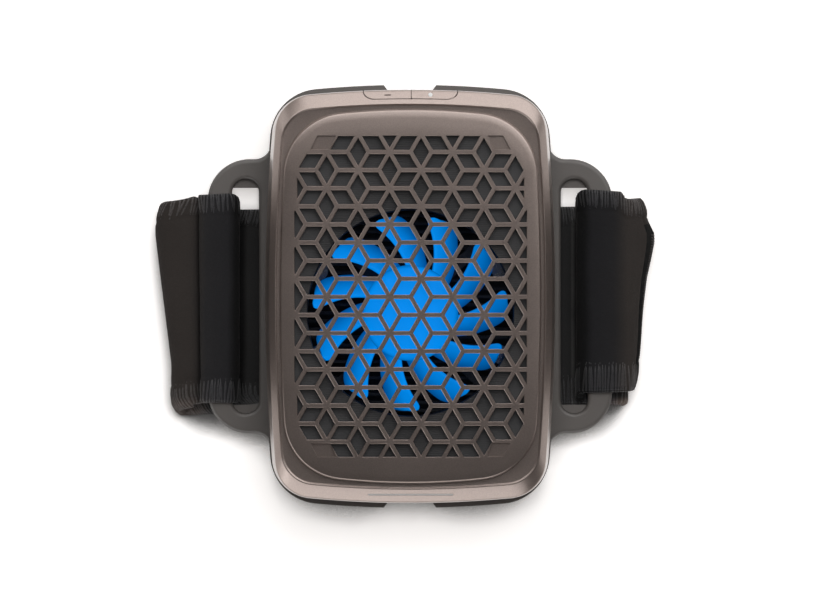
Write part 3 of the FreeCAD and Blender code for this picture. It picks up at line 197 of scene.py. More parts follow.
def housing_paint(name):
    """Warm bronze-grey satin paint with a fine metallic flake under a thin clear coat."""
    base = (0.262, 0.212, 0.190)
    a = Mat(name, base, 0.36, 0.92, 0.5)
    flake = a.voronoi(5200.0, out="Color")
    sep = a.n("ShaderNodeSeparateColor")
    a.link(flake, sep.inputs[0])
    broad = a.noise(42.0, 4.0)
    speck = a.range(sep.outputs[0], 0.0, 1.0, 0.93, 1.07)
    tone = a.range(broad, 0.3, 0.7, 0.975, 1.025)
    lum = a.math("MULTIPLY", speck, tone)
    rgb = a.n("ShaderNodeRGB")
    rgb.outputs[0].default_value = (*base, 1)
    vm = a.n("ShaderNodeVectorMath", operation="SCALE")
    a.link(rgb.outputs[0], vm.inputs[0])
    a.link(lum, vm.inputs["Scale"])
    a.color(vm.outputs[0])
    a.roughness(a.math("ADD", a.range(sep.outputs[1], 0, 1, -0.02, 0.02), a.range(broad, 0.3, 0.7, 0.34, 0.38)))
    a.bump(a.noise(2600.0, 2.0), 0.07, 0.00002)
    a.set("Coat Weight", 0.5)
    a.set("Coat Roughness", 0.22)
    return a.m


def moulded(name, color, rough=0.5, grain=2200.0, depth=0.00003, spec=0.5, vary=0.12):
    """Moulded plastic with a fine spark-eroded grain."""
    a = Mat(name, color, rough, 0.0, spec)
    broad = a.noise(30.0, 4.0)
    fine = a.noise(grain, 3.0)
    lo = tuple(c * (1 - vary) for c in color)
    hi = tuple(c * (1 + vary) for c in color)
    a.color(a.mix(a.math("MULTIPLY", a.range(broad, 0.3, 0.7, 0.3, 0.9), a.range(fine, 0.3, 0.7, 0.7, 1.0)), lo, hi))
    a.roughness(a.range(fine, 0.3, 0.7, rough - 0.05, rough + 0.06))
    a.bump(fine, 0.35, depth)
    return a.m


MATS = {}


def build_materials():
    MATS["housing"] = housing_paint("housing_bronze")
    MATS["cradle"] = moulded("cradle_plastic", (0.098, 0.089, 0.083), 0.46, 1500.0, 0.00004)
    MATS["screen"] = moulded("screen_plastic", (0.040, 0.0398, 0.041), 0.55, 1800.0, 0.00003)
    MATS["fan_black"] = moulded("fan_black", (0.008, 0.008, 0.009), 0.5)
    MATS["chip"] = moulded("chip_black", (0.02, 0.02, 0.021), 0.4)
    MATS["foam"] = moulded("foam_black", (0.03, 0.03, 0.03), 0.85, 900.0, 0.0002)
    MATS["circuit"] = moulded("circuit_green", (0.012, 0.10, 0.04), 0.35)
    MATS["ceramic"] = moulded("ceramic_white", (0.8, 0.79, 0.76), 0.5)
    MATS["lead"] = moulded("lead_red", (0.42, 0.02, 0.02), 0.45)
    MATS["battery"] = moulded("battery_wrap", (0.03, 0.07, 0.24), 0.3)
    MATS["lens"] = moulded("lens_white", (0.85, 0.85, 0.84), 0.35)
    a = Mat("aluminium", (0.72, 0.73, 0.75), 0.35, 1.0)
    a.roughness(a.range(a.noise(1800.0, 2.0), 0.3, 0.7, 0.32, 0.46))
    a.bump(a.noise(3000.0, 2.0), 0.2, 0.00002)
    MATS["aluminium"] = a.m
    a = Mat("black_anodised", (0.012, 0.012, 0.013), 0.45, 0.3)
    a.roughness(a.range(a.noise(1500.0, 2.0), 0.3, 0.7, 0.40, 0.52))
    a.bump(a.noise(2600.0, 2.0), 0.2, 0.00002)
    MATS["black_anodised"] = a.m
    # translucent blue moulding, lit from below: a painted glow (emission) stands in for that light and fades towards
    # the lower edges, with painted shade on faces tilted away from up and on the blades towards +X
    a = Mat("fan_blue", (0.0, 0.035, 0.15), 0.45, 0.0, 0.15)
    xyz = a.n("ShaderNodeSeparateXYZ")
    a.link(a.obj(), xyz.inputs[0])
    painted_glow_height = a.range(xyz.outputs[2], 0.0308, 0.0375, 0.16, 1.0, True)
    soft = a.range(a.noise(120.0, 3.0), 0.3, 0.7, 0.9, 1.08)
    geo = a.n("ShaderNodeNewGeometry")
    nrm = a.n("ShaderNodeSeparateXYZ")
    a.link(geo.outputs["Normal"], nrm.inputs[0])
    # painted shade: faces that tilt away from up glow less
    painted_tilt_shade = a.range(nrm.outputs[2], 0.25, 0.95, 0.35, 1.0)
    # painted shade: the blades towards +X glow less
    side = a.range(xyz.outputs[0], 0.004, 0.026, 1.0, 0.66, True)
    glow = a.math("MULTIPLY", a.math("MULTIPLY", painted_glow_height, soft), a.math("MULTIPLY", painted_tilt_shade, side))
    lit = a.mix(glow, (0.0, 0.030, 0.125), (0.0, 0.235, 0.76))
    a.link(lit, a.b.inputs["Emission Color"])
    a.set("Emission Strength", 1.0)
    a.bump(a.noise(1400.0, 2.0), 0.08, 0.00003)
    MATS["fan_blue"] = a.m
    a = Mat("status_window", (0.46, 0.44, 0.43), 0.38, 0.0, 0.5)
    a.roughness(a.range(a.noise(1500.0, 2.0), 0.3, 0.7, 0.34, 0.44))
    a.bump(a.noise(2200.0, 2.0), 0.1, 0.00002)
    MATS["window"] = a.m
    a = Mat("steel", (0.5, 0.5, 0.51), 0.28, 1.0)
    a.roughness(a.range(a.noise(900.0, 2.0), 0.3, 0.7, 0.22, 0.36))
    MATS["steel"] = a.m
    a = Mat("black_screw", (0.04, 0.04, 0.042), 0.38, 0.9)
    a.roughness(a.range(a.noise(900.0, 2.0), 0.3, 0.7, 0.32, 0.46))
    MATS["black_screw"] = a.m
    a = Mat("copper_coil", (0.6, 0.25, 0.1), 0.35, 1.0)
    a.bump(a.wave(1500.0, direction="Z"), 0.5, 0.0001)
    MATS["copper"] = a.m


build_materials()

NODE_MAT = {
    "cradle": "cradle", "rear_shell": "housing", "front_shell": "housing", "front_panel": "housing",
    "button_left": "housing", "button_right": "housing", "button_lens": "lens", "status_light": "window",
    "air_screen": "screen", "fan_frame": "fan_black", "fan_bearing": "copper", "fan_stator": "copper",
    "fan_rotor": "fan_blue", "fan_shaft": "steel", "fan_magnet": "chip", "fan_leds": "lens",
    "fan_screws": "black_screw", "contact_plate": "aluminium", "plate_seal": "foam",
    "peltier_module": "ceramic", "insulation_frame": "foam", "thermistor": "chip",
    "heat_sink": "black_anodised", "heat_sink_screws": "steel", "battery_pack": "battery",
    "battery_pad": "foam", "main_board": "circuit", "board_parts": "chip", "button_board": "circuit",
    "button_switches": "chip", "port_board": "circuit", "charging_socket": "steel",
    "status_board": "circuit", "shell_screws": "black_screw", "peltier_leads": "lead",
    "fan_leads": "lead", "battery_leads": "lead", "strap_band": "foam", "strap_hook_patch": "foam",
}
for n, o in NODES.items():
    o.data.materials.clear()
    o.data.materials.append(MATS[NODE_MAT[n]])


# ---------------------------------------------------------------- small mesh tools
def new_object(name, verts, faces, mat=None, smooth=True, angle=None):
    me = bpy.data.meshes.new(name)
    me.from_pydata([tuple(v) for v in verts], [], faces)
    me.validate()
    ob = bpy.data.objects.new(name, me)
    scene.collection.objects.link(ob)
    if smooth:
        me.polygons.foreach_set("use_smooth", [True] * len(me.polygons))
        if angle is not None:
            me.set_sharp_from_angle(angle=math.radians(angle))
    if mat is not None:
        me.materials.append(MATS[mat])
    return ob


def outward(ob):
    """Normals point out of a closed mesh."""
    bm = bmesh.new()
    bm.from_mesh(ob.data)
    bmesh.ops.recalc_face_normals(bm, faces=bm.faces)
    bm.to_mesh(ob.data)
    bm.free()


def smoothstep(a, b, x):
    t = np.clip((x - a) / (b - a), 0.0, 1.0)
    return t * t * (3 - 2 * t)


# ---------------------------------------------------------------- strap
# corners of the middle line: x, z, radius at the +Y edge; x, z, radius at the -Y edge;
# then the y of the two long edges there
ZB, ZT, XL, XR = 5.4, 12.75, 49.7, 48.7
ROUTE = [
    (-60.3, 12.75, 0, -59.6, 12.75, 0, 28.9, -30.2),
    (-XL, ZT, 2.6, -XL, ZT, 2.6, 29.4, -30.4),
    (-XL, ZB, 2.6, -XL, ZB, 2.6, 24.6, -30.4),
    (-60.1, ZB, 3.0, -59.8, ZB, 2.8, 25.4, -30.6),
    (-62.0, 9.9, 2.4, -61.5, 9.2, 2.2, 28.8, -30.9),
    (-72.6, 9.9, 3.8, -65.3, 9.0, 2.9, 27.2, -32.0),
    (-72.6, 1.25, 4.2, -65.3, 1.25, 3.4, 24.6, -34.0),
    (60.3, 1.25, 2.05, 61.2, 1.25, 2.0, 26.0, -31.4),
    (60.3, ZB, 2.05, 61.2, ZB, 2.0, 25.4, -31.0),
    (XR, ZB, 2.6, XR, ZB, 2.6, 24.8, -30.6),
    (XR, ZT, 2.6, XR, ZT, 2.6, 30.6, -27.6),
    (62.7, ZT, 2.6, 62.7, ZT, 2.6, 29.7, -27.2),
    (68.0, 9.3, 1.3, 68.0, 9.3, 1.3, 29.7, -27.0),
    (69.4, 6.6, 0, 69.4, 6.6, 0, 29.7, -27.0),
]
# the fastened end from above: how far out it reaches at each y
END_Y = [-28.0, -26.5, -24.5, -22.5, -15.7, -7.8, 0.0, 5.5, 10.7, 15.5, 17.8, 19.4, 21.5, 25.0, 27.0, 28.2]
END_X = [62.3, 62.9, 63.6, 64.1, 64.8, 65.4, 66.2, 67.0, 68.2, 69.2, 69.2, 68.3, 67.3, 66.7, 65.6, 64.2]


def fillet_path(pts, spec=None):
    """Straight runs joined by arcs, sampled by the corner list; pts are (x, z, r)."""
    P = [np.array(p[:2], float) for p in pts]
    out, tags = [], []
    n = len(P)
    last = P[0]
    for i in range(1, n - 1):
        d0 = P[i] - P[i - 1]
        d0 /= np.linalg.norm(d0)
        d1 = P[i + 1] - P[i]
        d1 /= np.linalg.norm(d1)
        ang = math.acos(max(-1, min(1, float(d0 @ d1))))
        r = pts[i][2]
        tl = r * math.tan(ang / 2)
        a, b = P[i] - d0 * tl, P[i] + d1 * tl
        out.append(("line", last, a, i - 1))
        turn = d0[0] * d1[1] - d0[1] * d1[0]
        s = 1 if turn > 0 else -1
        nrm = np.array([-d0[1], d0[0]]) * s
        c = a + nrm * r
        a0 = math.atan2(*(a - c)[::-1])
        out.append(("arc", c, r, a0, s * ang, i))
        last = b
    out.append(("line", last, P[-1], n - 2))
    return out


def sample_path(segs, counts):
    pts, where = [], []
    for seg, m in zip(segs, counts):
        for k in range(m):
            t = k / m
            if seg[0] == "line":
                pts.append(seg[1] * (1 - t) + seg[2] * t)
                # position between corner i (0) and corner i + 1 (1)
                where.append(seg[3] + 0.12 + 0.76 * t)
            else:
                _, c, r, a0, sw, i = seg
                a = a0 + sw * t
                pts.append(c + r * np.array([math.cos(a), math.sin(a)]))
                where.append(i - 0.12 + 0.24 * t)
    seg = segs[-1]
    pts.append(seg[2])
    where.append(seg[3] + 1.0)
    return np.array(pts), np.array(where)


class Strap:
    """The strap's middle surface: points at a station (float) and at w,
    which runs from 0 at the -Y edge to 1 at the +Y edge."""

    def __init__(self):
        top = fillet_path([(a, b, c) for a, b, c, *_ in ROUTE])
        bot = fillet_path([(r[3], r[4], r[5]) for r in ROUTE])
        counts = []
        for st, sb in zip(top, bot):
            if st[0] == "line":
                ln = max(np.linalg.norm(st[2] - st[1]), np.linalg.norm(sb[2] - sb[1]))
                counts.append(max(2, int(round(ln / 0.62))))
            else:
                ln = max(abs(st[4]) * st[2], abs(sb[4]) * sb[2])
                counts.append(max(5, int(round(ln / 0.45))))
        self.top, where = sample_path(top, counts)
        self.bot, _ = sample_path(bot, counts)
        n = len(self.top)
        w = np.clip(where, 0, len(ROUTE) - 1)
        idx = np.arange(len(ROUTE))
        yt = np.interp(w, idx, [r[6] for r in ROUTE])
        yb = np.interp(w, idx, [r[7] for r in ROUTE])
        self.n = n
        # smooth the edges' course
        k = np.exp(-0.5 * (np.arange(-6, 7) / 2.6) ** 2)
        k /= k.sum()
        pad = lambda a: np.pad(a, 6, mode="edge")
        self.yt = np.convolve(pad(yt), k, "valid")
        self.yb = np.convolve(pad(yb), k, "valid")
        mid = (self.top + self.bot) / 2
        # the run under the unit is narrower than the bulge it comes from
        under = (w > 6.05) & (w < 7.0)
        course = np.interp(mid[:, 0], [-66, -58.5, -50, -47, 56], [-34.0, -33.6, -31.0, -30.7, -31.2])
        self.yb = np.where(under, course, self.yb)
        # the layer over the right bar ends in a step; what comes after it is narrower
        self.yt = self.yt - 1.9 * smoothstep(60.2, 61.6, mid[:, 0]) * (w > 9.9)
        self.where = w
        mid = (self.top + self.bot) / 2
        d = np.linalg.norm(np.diff(mid, axis=0), axis=1)
        self.s = np.concatenate([[0], np.cumsum(d)])
        self.length = self.s[-1]

    def section(self, w):
        """The middle line at w, in x and z."""
        e = w  # straight rulings
        return self.bot * (1 - e) + self.top * e

    def grid(self, ws):
        """points[i, j] at station i and width ws[j]."""
        P = np.zeros((self.n, len(ws), 3))
        for j, w in enumerate(ws):
            c = self.section(w)
            P[:, j, 0] = c[:, 0]
            P[:, j, 2] = c[:, 1]
            P[:, j, 1] = self.yb * (1 - w) + self.yt * w
        return P


def strap_shape(P, ws, st):
    """Life in the cloth: the bulges pull in at the edges, the sewn end droops and the fastened end flares."""
    n, m, _ = P.shape
    s = st.s[:, None] * np.ones((1, m))
    w = np.array(ws)[None, :] * np.ones((n, 1))
    wh = st.where[:, None] * np.ones((1, m))
    # left bulge: corners 3.6 .. 6.6; pulled in at the +Y and -Y edges
    left = smoothstep(3.5, 4.6, wh) * (1 - smoothstep(6.2, 6.9, wh))
    pull = left * (2.6 * smoothstep(0.84, 1.02, w) ** 1.5 - 1.35 * smoothstep(0.26, 0.04, w) + 2.6 * smoothstep(0.07, -0.02, w) ** 1.6)
    P[:, :, 0] += pull
    # the sewn end droops over the wing's edge
    sewn = (wh < 0.9) & (P[:, :, 0] < -58.2)
    P[:, :, 2] -= np.where(sewn, 0.5 * (-58.2 - P[:, :, 0]), 0.0)
    # the fastened end: flared at its upper part, tucked in at the lower
    xc, xe, zc = 62.0, 69.4, 12.6
    past = (wh > 10.5) & (P[:, :, 0] > xc)
    reach = np.interp(P[:, :, 1], END_Y, END_X)
    k = np.clip((reach - xc) / (xe - xc), 0.05, 1.2)
    P[:, :, 0] = np.where(past, xc + (P[:, :, 0] - xc) * k, P[:, :, 0])
    P[:, :, 2] = np.where(past, zc + (P[:, :, 2] - zc) * (0.62 + 0.38 * np.minimum(k, 1.0)), P[:, :, 2])
    return P


def band_depth(where, low):
    """Depth of the overlocked band along each long edge."""
    return np.where(low, np.where(where < 6.5, 6.9, 8.9), 5.5)


def build_strap():
    st = Strap()
    T = 1.25  # half the thickness
    # widths: dense near both edges, where the overlocked bands are
    wid = 58.5
    ws = []
    x = 0.0
    while x < wid / 2:
        ws.append(x)
        x += 0.35 if x < 1.4 else (0.55 if x < 7.5 else 1.3)
    half = [w / wid for w in ws]
    ws = half + [0.5] + [1 - w for w in reversed(half)]
    P = strap_shape(st.grid(ws), ws, st)
    n, m, _ = P.shape
    # normals of the middle surface
    du = np.gradient(P, axis=0)
    dv = np.gradient(P, axis=1)
    N = np.cross(du, dv)
    N /= np.maximum(np.linalg.norm(N, axis=2, keepdims=True), 1e-9)
    # which way is out: over the left bar the outer face looks up
    if N[3, m // 2, 2] < 0:
        N = -N
    w = np.array(ws)[None, :]
    edge = np.minimum(w, 1 - w) * wid * np.ones((n, 1))  # mm from the nearer long edge
    s = st.s[:, None] * np.ones((1, m))
    ends = np.minimum(s, st.length - s)
    near = np.minimum(edge, ends + 0.0)
    # half thickness: rounded rim, a slightly proud overlocked band, a groove inside it
    t = T * np.sqrt(np.clip(1 - (1 - np.clip(near / 1.1, 0, 1)) ** 2, 0.0, 1))
    t = np.maximum(t, 0.10)
    where = st.where[:, None] * np.ones((1, m))
    # it is pressed thinner where it turns through the left slot
    t *= 1 - 0.18 * smoothstep(0.5, 1.0, where) * (1 - smoothstep(2.0, 2.5, where))
    low = (w < 0.5) * np.ones((n, 1))
    band = band_depth(where, low > 0.5) + 0.35 * np.sin(s / 6.1) + 0.2 * np.sin(s / 2.3 + 1.0)
    t += 0.10 * smoothstep(0.3, 1.2, edge) * (1 - smoothstep(band - 0.5, band, edge))
    groove = np.exp(-(((edge - band - 0.35) / 0.42) ** 2)) + np.exp(-(((s - 5.0) / 0.42) ** 2)) * (edge > 0.5)
    t -= 0.22 * np.clip(groove, 0, 1)
    # a groove 3.5 mm from the end, inside the darker end strip, and the crease where the layer over the bar ends
    last = st.length - s
    t -= 0.60 * np.exp(-(((last - 3.5) / 0.45) ** 2)) * (edge > 0.8)
    crease = np.exp(-(((P[:, :, 0] - 62.2) / 0.30) ** 2)) * (where > 10.4)
    t -= 0.22 * crease
    # soft waves of the cloth on the outer face
    rng = np.random.default_rng(7)
    wave = np.zeros((n, m))
    for _ in range(14):
        fs, fw = rng.uniform(0.05, 0.35), rng.uniform(0.05, 0.22)
        ph = rng.uniform(0, 6.28)
        wave += rng.uniform(0.5, 1.0) * np.sin(s * fs + edge * fw * 2 + w * 9 * fw + ph)
    wave *= 0.020
    wave *= smoothstep(5.5, 9.0, edge)
    outer = P + N * (t + wave)[:, :, None]
    inner = P - N * t[:, :, None]
    # bits that rest on the floor stay on it
    verts = np.concatenate([outer.reshape(-1, 3), inner.reshape(-1, 3)])
    verts[:, 2] = np.maximum(verts[:, 2], 0.0)
    o = lambda i, j: i * m + j
    q = lambda i, j: n * m + i * m + j
    faces = []
    for i in range(n - 1):
        for j in range(m - 1):
            faces.append((o(i, j), o(i + 1, j), o(i + 1, j + 1), o(i, j + 1)))
            faces.append((q(i, j), q(i, j + 1), q(i + 1, j + 1), q(i + 1, j)))
    for i in range(n - 1):
        faces.append((o(i, 0), q(i, 0), q(i + 1, 0), o(i + 1, 0)))
        faces.append((o(i, m - 1), o(i + 1, m - 1), q(i + 1, m - 1), q(i, m - 1)))
    for j in range(m - 1):
        faces.append((o(0, j), o(0, j + 1), q(0, j + 1), q(0, j)))
        faces.append((o(n - 1, j), q(n - 1, j), q(n - 1, j + 1), o(n - 1, j + 1)))
    ob = new_object("strap_cloth", verts * MM, faces, "strap")
    outward(ob)
    # the last 4 mm of the fastened end, away from its long edges, take a darker material
    ob.data.materials.append(MATS["binding"])
    x0 = st.length - 4.1
    flags = [1 if all(s[min((v % (n * m)) // m, n - 1), 0] > x0 for v in f.vertices) and
             all(0.02 < ws[(v % (n * m)) % m] < 0.87 for v in f.vertices) else 0 for f in ob.data.polygons]
    ob.data.polygons.foreach_set("material_index", flags)
    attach(ob, "holder")
    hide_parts("strap_band")

    # overlock threads: each loop runs over the edge from one face to the other
    tv, tf = [], []

    def tube(path, nor, a, b, sides=6):
        """A flat thread: half width a along the strap, half height b."""
        base = len(tv)
        k = len(path)
        tan = np.gradient(path, axis=0)
        tan /= np.maximum(np.linalg.norm(tan, axis=1, keepdims=True), 1e-9)
        side = np.cross(tan, nor)
        side /= np.maximum(np.linalg.norm(side, axis=1, keepdims=True), 1e-9)
        up = np.cross(side, tan)
        for i in range(k):
            f = 1.0 if 0 < i < k - 1 else 0.35
            for c in range(sides):
                an = 2 * math.pi * c / sides
                tv.append(path[i] + side[i] * (a * f * math.cos(an)) + up[i] * (b * f * math.sin(an)))
        for i in range(k - 1):
            for c in range(sides):
                d = (c + 1) % sides
                tf.append((base + i * sides + c, base + i * sides + d, base + (i + 1) * sides + d, base + (i + 1) * sides + c))
        tf.append(tuple(base + c for c in range(sides))[::-1])
        tf.append(tuple(base + (k - 1) * sides + c for c in range(sides)))

    def surf(sv, jf, outside):
        """Point and normal on a face at station value sv (float index) and width index jf."""
        i0 = int(min(max(math.floor(sv), 0), n - 2))
        j0 = int(min(max(math.floor(jf), 0), m - 2))
        a, b = sv - i0, jf - j0
        F = outer if outside else inner
        p = (F[i0, j0] * (1 - a) * (1 - b) + F[i0 + 1, j0] * a * (1 - b)
             + F[i0, j0 + 1] * (1 - a) * b + F[i0 + 1, j0 + 1] * a * b)
        nn = (N[i0, j0] * (1 - a) + N[i0 + 1, j0] * a) * (1 if outside else -1)
        return p, nn / np.linalg.norm(nn)

    wv = np.array(ws) * wid
    rnd = random.Random(3)
    pitch = 0.74
    count = int(st.length / pitch)
    for top in (False, True):
        for k in range(count):
            s0 = (k + 0.5 + rnd.uniform(-0.12, 0.12)) * pitch
            lean = rnd.uniform(-0.45, 0.75)
            here = float(np.interp(s0, st.s, st.where))
            deep = float(band_depth(here, not top)) - 0.4 + rnd.uniform(-0.7, 0.35)
            pts, nrm = [], []
            for outside in (True, False):
                seq = [1.0, 0.72, 0.45, 0.22, 0.08, 0.0] if outside else [0.0, 0.08, 0.22, 0.45, 0.72, 1.0]
                for f in seq:
                    e = deep * f + 0.12
                    wpos = wid - e if top else e
                    jf = float(np.interp(wpos, wv, np.arange(m)))
                    ss = s0 + lean * f
                    sv = float(np.interp(ss, st.s, np.arange(n)))
                    p, nn = surf(sv, jf, outside)
                    if f == 0.0:
                        # round the rim: the normal leans out over the edge
                        y = 1.0 if top else -1.0
                        nn = nn * 0.5 + np.array([0, y, 0])
                        nn /= np.linalg.norm(nn)
                    pts.append(p + nn * 0.03)
                    nrm.append(nn)
            pts, nrm = np.array(pts), np.array(nrm)
            pts[:, 2] = np.maximum(pts[:, 2], 0.12)
            tube(pts, nrm, 0.27, 0.10)
    # the row along the flared end
    for k in range(int(60 / pitch)):
        y0 = k * pitch + 0.4
        wpos = 3.0 + y0
        if wpos > wid - 11:
            break
        jf = float(np.interp(wpos, wv, np.arange(m)))
        pts, nrm = [], []
        for outside in (True, False):
            seq = [1.0, 0.6, 0.3, 0.1, 0.0] if outside else [0.0, 0.1, 0.3, 0.6, 1.0]
            for f in seq:
                ss = st.length - 2.7 * f - 0.1
                sv = float(np.interp(ss, st.s, np.arange(n)))
                p, nn = surf(sv, jf + 0.3 * f, outside)
                if f == 0.0:
                    nn = nn * 0.5 + np.array([1.0, 0, -0.3])
                    nn /= np.linalg.norm(nn)
                pts.append(p + nn * 0.04)
                nrm.append(nn)
        tube(np.array(pts), np.array(nrm), 0.27, 0.11)
    th = new_object("strap_overlock", np.array(tv) * MM, tf, "thread")
    outward(th)
    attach(th, "holder")
    half_len = st.length
    print("strap length", round(st.length, 1))
    return ob, st


def build_hook(st):
    """The hook patch on the tail's inner face, between the tail and the fold below."""
    T = 1.25
    ws = np.linspace(0.09, 0.93, 30)
    P = strap_shape(st.grid(ws), ws, st)
    du = np.gradient(P, axis=0)
    dv = np.gradient(P, axis=1)
    N = np.cross(du, dv)
    N /= np.maximum(np.linalg.norm(N, axis=2, keepdims=True), 1e-9)
    # outer normal sign: as in build_strap
    if N[3, 15, 2] < 0:
        N = -N
    i0 = int(np.argmax(st.where > 10.86))
    i1 = int(np.argmax(st.where > 11.9))
    verts, faces = [], []
    rows = list(range(i0, i1))
    k = len(ws)
    for side in (1.12, 2.05):
        for i in rows:
            for j in range(k):
                verts.append(P[i, j] - N[i, j] * side)
    r = len(rows)
    a = lambda i, j: i * k + j
    b = lambda i, j: r * k + i * k + j
    for i in range(r - 1):
        for j in range(k - 1):
            faces.append((a(i, j), a(i + 1, j), a(i + 1, j + 1), a(i, j + 1)))
            faces.append((b(i, j), b(i, j + 1), b(i + 1, j + 1), b(i + 1, j)))
    for i in range(r - 1):
        faces.append((a(i, 0), b(i, 0), b(i + 1, 0), a(i + 1, 0)))
        faces.append((a(i, k - 1), a(i + 1, k - 1), b(i + 1, k - 1), b(i, k - 1)))
    for j in range(k - 1):
        faces.append((a(0, j), a(0, j + 1), b(0, j + 1), b(0, j)))
        faces.append((a(r - 1, j), b(r - 1, j), b(r - 1, j + 1), a(r - 1, j + 1)))
    ob = new_object("strap_hook", np.array(verts) * MM, faces, "hook", angle=40)
    outward(ob)
    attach(ob, "holder")
    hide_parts("strap_hook_patch")
    return ob


def strap_tone_and_painted_light(a):
    """Tone across the strap: brownish at the bulges and cooler over the bars, with painted shade at the folds and
    painted highlights on the roll of the right fold and on the lower edges beyond the bars.
    """
    xyz = a.n("ShaderNodeSeparateXYZ")
    a.link(a.obj(), xyz.inputs[0])
    across = a.range(a.math("ABSOLUTE", xyz.outputs[0]), 0.040, 0.070, 0.0, 1.0)
    soft = a.math("ADD", across, a.range(a.noise(70.0, 2.0), 0.3, 0.7, -0.012, 0.012))
    # painted highlight: a narrow bright band where the right fold rolls over; the right panel beyond it is a little
    # darker
    right = a.ramp(a.range(xyz.outputs[0], 0.040, 0.070, 0.0, 1.0), [
        (0.0, (1, 1, 1)), (0.203, (1, 1, 1)), (0.220, (2.5, 2.5, 2.45)), (0.240, (2.5, 2.5, 2.45)), (0.262, (1, 1, 1)),
        (0.30, (0.80, 0.80, 0.81)), (0.64, (0.80, 0.80, 0.81)), (0.74, (1, 1, 1))])
    # painted shade: the dark stops next to the bars darken the folds
    tone = a.ramp(soft, [
        (0.00, (0.68, 0.67, 0.67)), (0.215, (0.70, 0.69, 0.69)), (0.262, (0.24, 0.24, 0.24)), (0.333, (0.24, 0.24, 0.25)),
        (0.40, (0.53, 0.52, 0.57)), (0.60, (0.66, 0.635, 0.67)), (0.66, (0.86, 0.78, 0.75)), (0.74, (1.08, 0.92, 0.84)),
        (1.00, (1.08, 0.90, 0.81)),
    ])
    tone = a.mix(1.0, tone, right, "MULTIPLY")
    # painted highlight: the lower edge of the layers beyond the bars is lightened where it catches the light
    low = a.math("MULTIPLY", a.range(xyz.outputs[1], -0.0284, -0.0308, 0.0, 1.0, True), a.range(xyz.outputs[0], 0.046, 0.054, 0.22, 1.0))
    low = a.math("MULTIPLY", low, a.range(a.math("ABSOLUTE", xyz.outputs[0]), 0.048, 0.058, 0.0, 1.0))
    return a.mix(low, tone, a.mix(1.0, tone, (4.6, 4.0, 3.6), "MULTIPLY"))


def strap_materials():
    a = Mat("strap_fabric", (0.02, 0.019, 0.019), 0.9, 0.0, 0.10)
    # brushed loop pile: short fibres, faint rows, broad tone
    pile = a.noise(3200.0, 3.0, 0.6)
    knit = a.voronoi(1150.0, out="Distance")
    broad = a.noise(55.0, 3.0)
    fluff = a.math("MULTIPLY", a.range(pile, 0.25, 0.75, 0.75, 1.25), a.range(broad, 0.3, 0.7, 0.85, 1.18))
    cloth = a.mix(a.math("MULTIPLY", fluff, 0.5, True), (0.020, 0.020, 0.020), (0.046, 0.046, 0.046))
    a.color(a.mix(1.0, cloth, strap_tone_and_painted_light(a), "MULTIPLY"))
    h = a.math("ADD", a.math("MULTIPLY", knit, 0.7), pile)
    a.bump(h, 0.55, 0.00022)
    a.set("Sheen Weight", 0.03)
    a.set("Sheen Roughness", 0.45)
    a.set("Sheen Tint", (0.75, 0.72, 0.72, 1.0))
    MATS["strap"] = a.m
    # darker material for the last few mm of the fastened end
    a = Mat("strap_binding", (0.016, 0.015, 0.0145), 0.8, 0.0, 0.2)
    a.color(a.mix(a.range(a.noise(900.0, 2.0), 0.3, 0.7, 0.0, 1.0), (0.003, 0.003, 0.003), (0.008, 0.0075, 0.007)))
    a.bump(a.noise(2600.0, 2.0), 0.4, 0.00015)
    MATS["binding"] = a.m
    a = Mat("overlock_thread", (0.03, 0.03, 0.032), 0.62, 0.0, 0.4)
    tw = a.noise(2600.0, 2.0)
    yarn = a.mix(a.range(tw, 0.3, 0.7, 0.0, 1.0), (0.026, 0.026, 0.027), (0.060, 0.060, 0.062))
    a.color(a.mix(1.0, yarn, strap_tone_and_painted_light(a), "MULTIPLY"))
    a.bump(tw, 0.5, 0.00015)
    a.set("Sheen Weight", 0.1)
    MATS["thread"] = a.m
    a = Mat("hook_fabric", (0.02, 0.02, 0.02), 0.7)
    a.color(a.mix(a.range(a.voronoi(1800.0), 0.0, 0.6, 0, 1), (0.03, 0.03, 0.03), (0.008, 0.008, 0.008)))
    a.bump(a.voronoi(1800.0), 1.0, 0.0004)
    MATS["hook"] = a.m


strap_materials()
strap_cloth, strap_line = build_strap()
build_hook(strap_line)


# ---------------------------------------------------------------- housing
def bowed_ring(w, l, r, R, nc=16, ns=26, ne=30):
    """Points round the housing's kind of outline, the same number for every size:
    bowed long sides, bowed ends and round corners, all tangent."""
    F = 560.0 - (82.2 - w) / 2
    cx, cy = w / 2 - F, l / 2 - R
    xc, yc = w / 2 - r, l / 2 - r
    for _ in range(60):
        yc = cy + math.sqrt((R - r) ** 2 - xc**2)
        xc = cx + math.sqrt((F - r) ** 2 - yc**2)
    a = math.atan2(yc - cy, xc)
    b = math.atan2(yc, xc - cx)
    q = []
    for i in range(ns // 2):
        t = b * i / (ns // 2)
        q.append((cx + F * math.cos(t), F * math.sin(t)))
    for i in range(nc):
        t = b + (a - b) * i / nc
        q.append((xc + r * math.cos(t), yc + r * math.sin(t)))
    for i in range(ne // 2):
        t = a + (math.pi / 2 - a) * i / (ne // 2)
        q.append((R * math.cos(t), cy + R * math.sin(t)))
    q.append((0.0, l / 2))
    # mirror round: q runs from (w/2, 0) to (0, l/2)
    left = [(-x, y) for x, y in q[::-1]][1:]
    down = [(-x, -y) for x, y in q[1:]]
    right = [(x, -y) for x, y in q[::-1]][1:-1]
    return [np.array(p) for p in q + left + down + right]


def body_ring(side, end, r):
    return bowed_ring(82.2 - 2 * side, 117.2 - 2 * end, r, 300 - end)


def panel_ring(side, end):
    return bowed_ring(73.5 - 2 * side, 105.2 - 2 * end, max(17.5 - (side + end) / 2, 6), 185 - end)


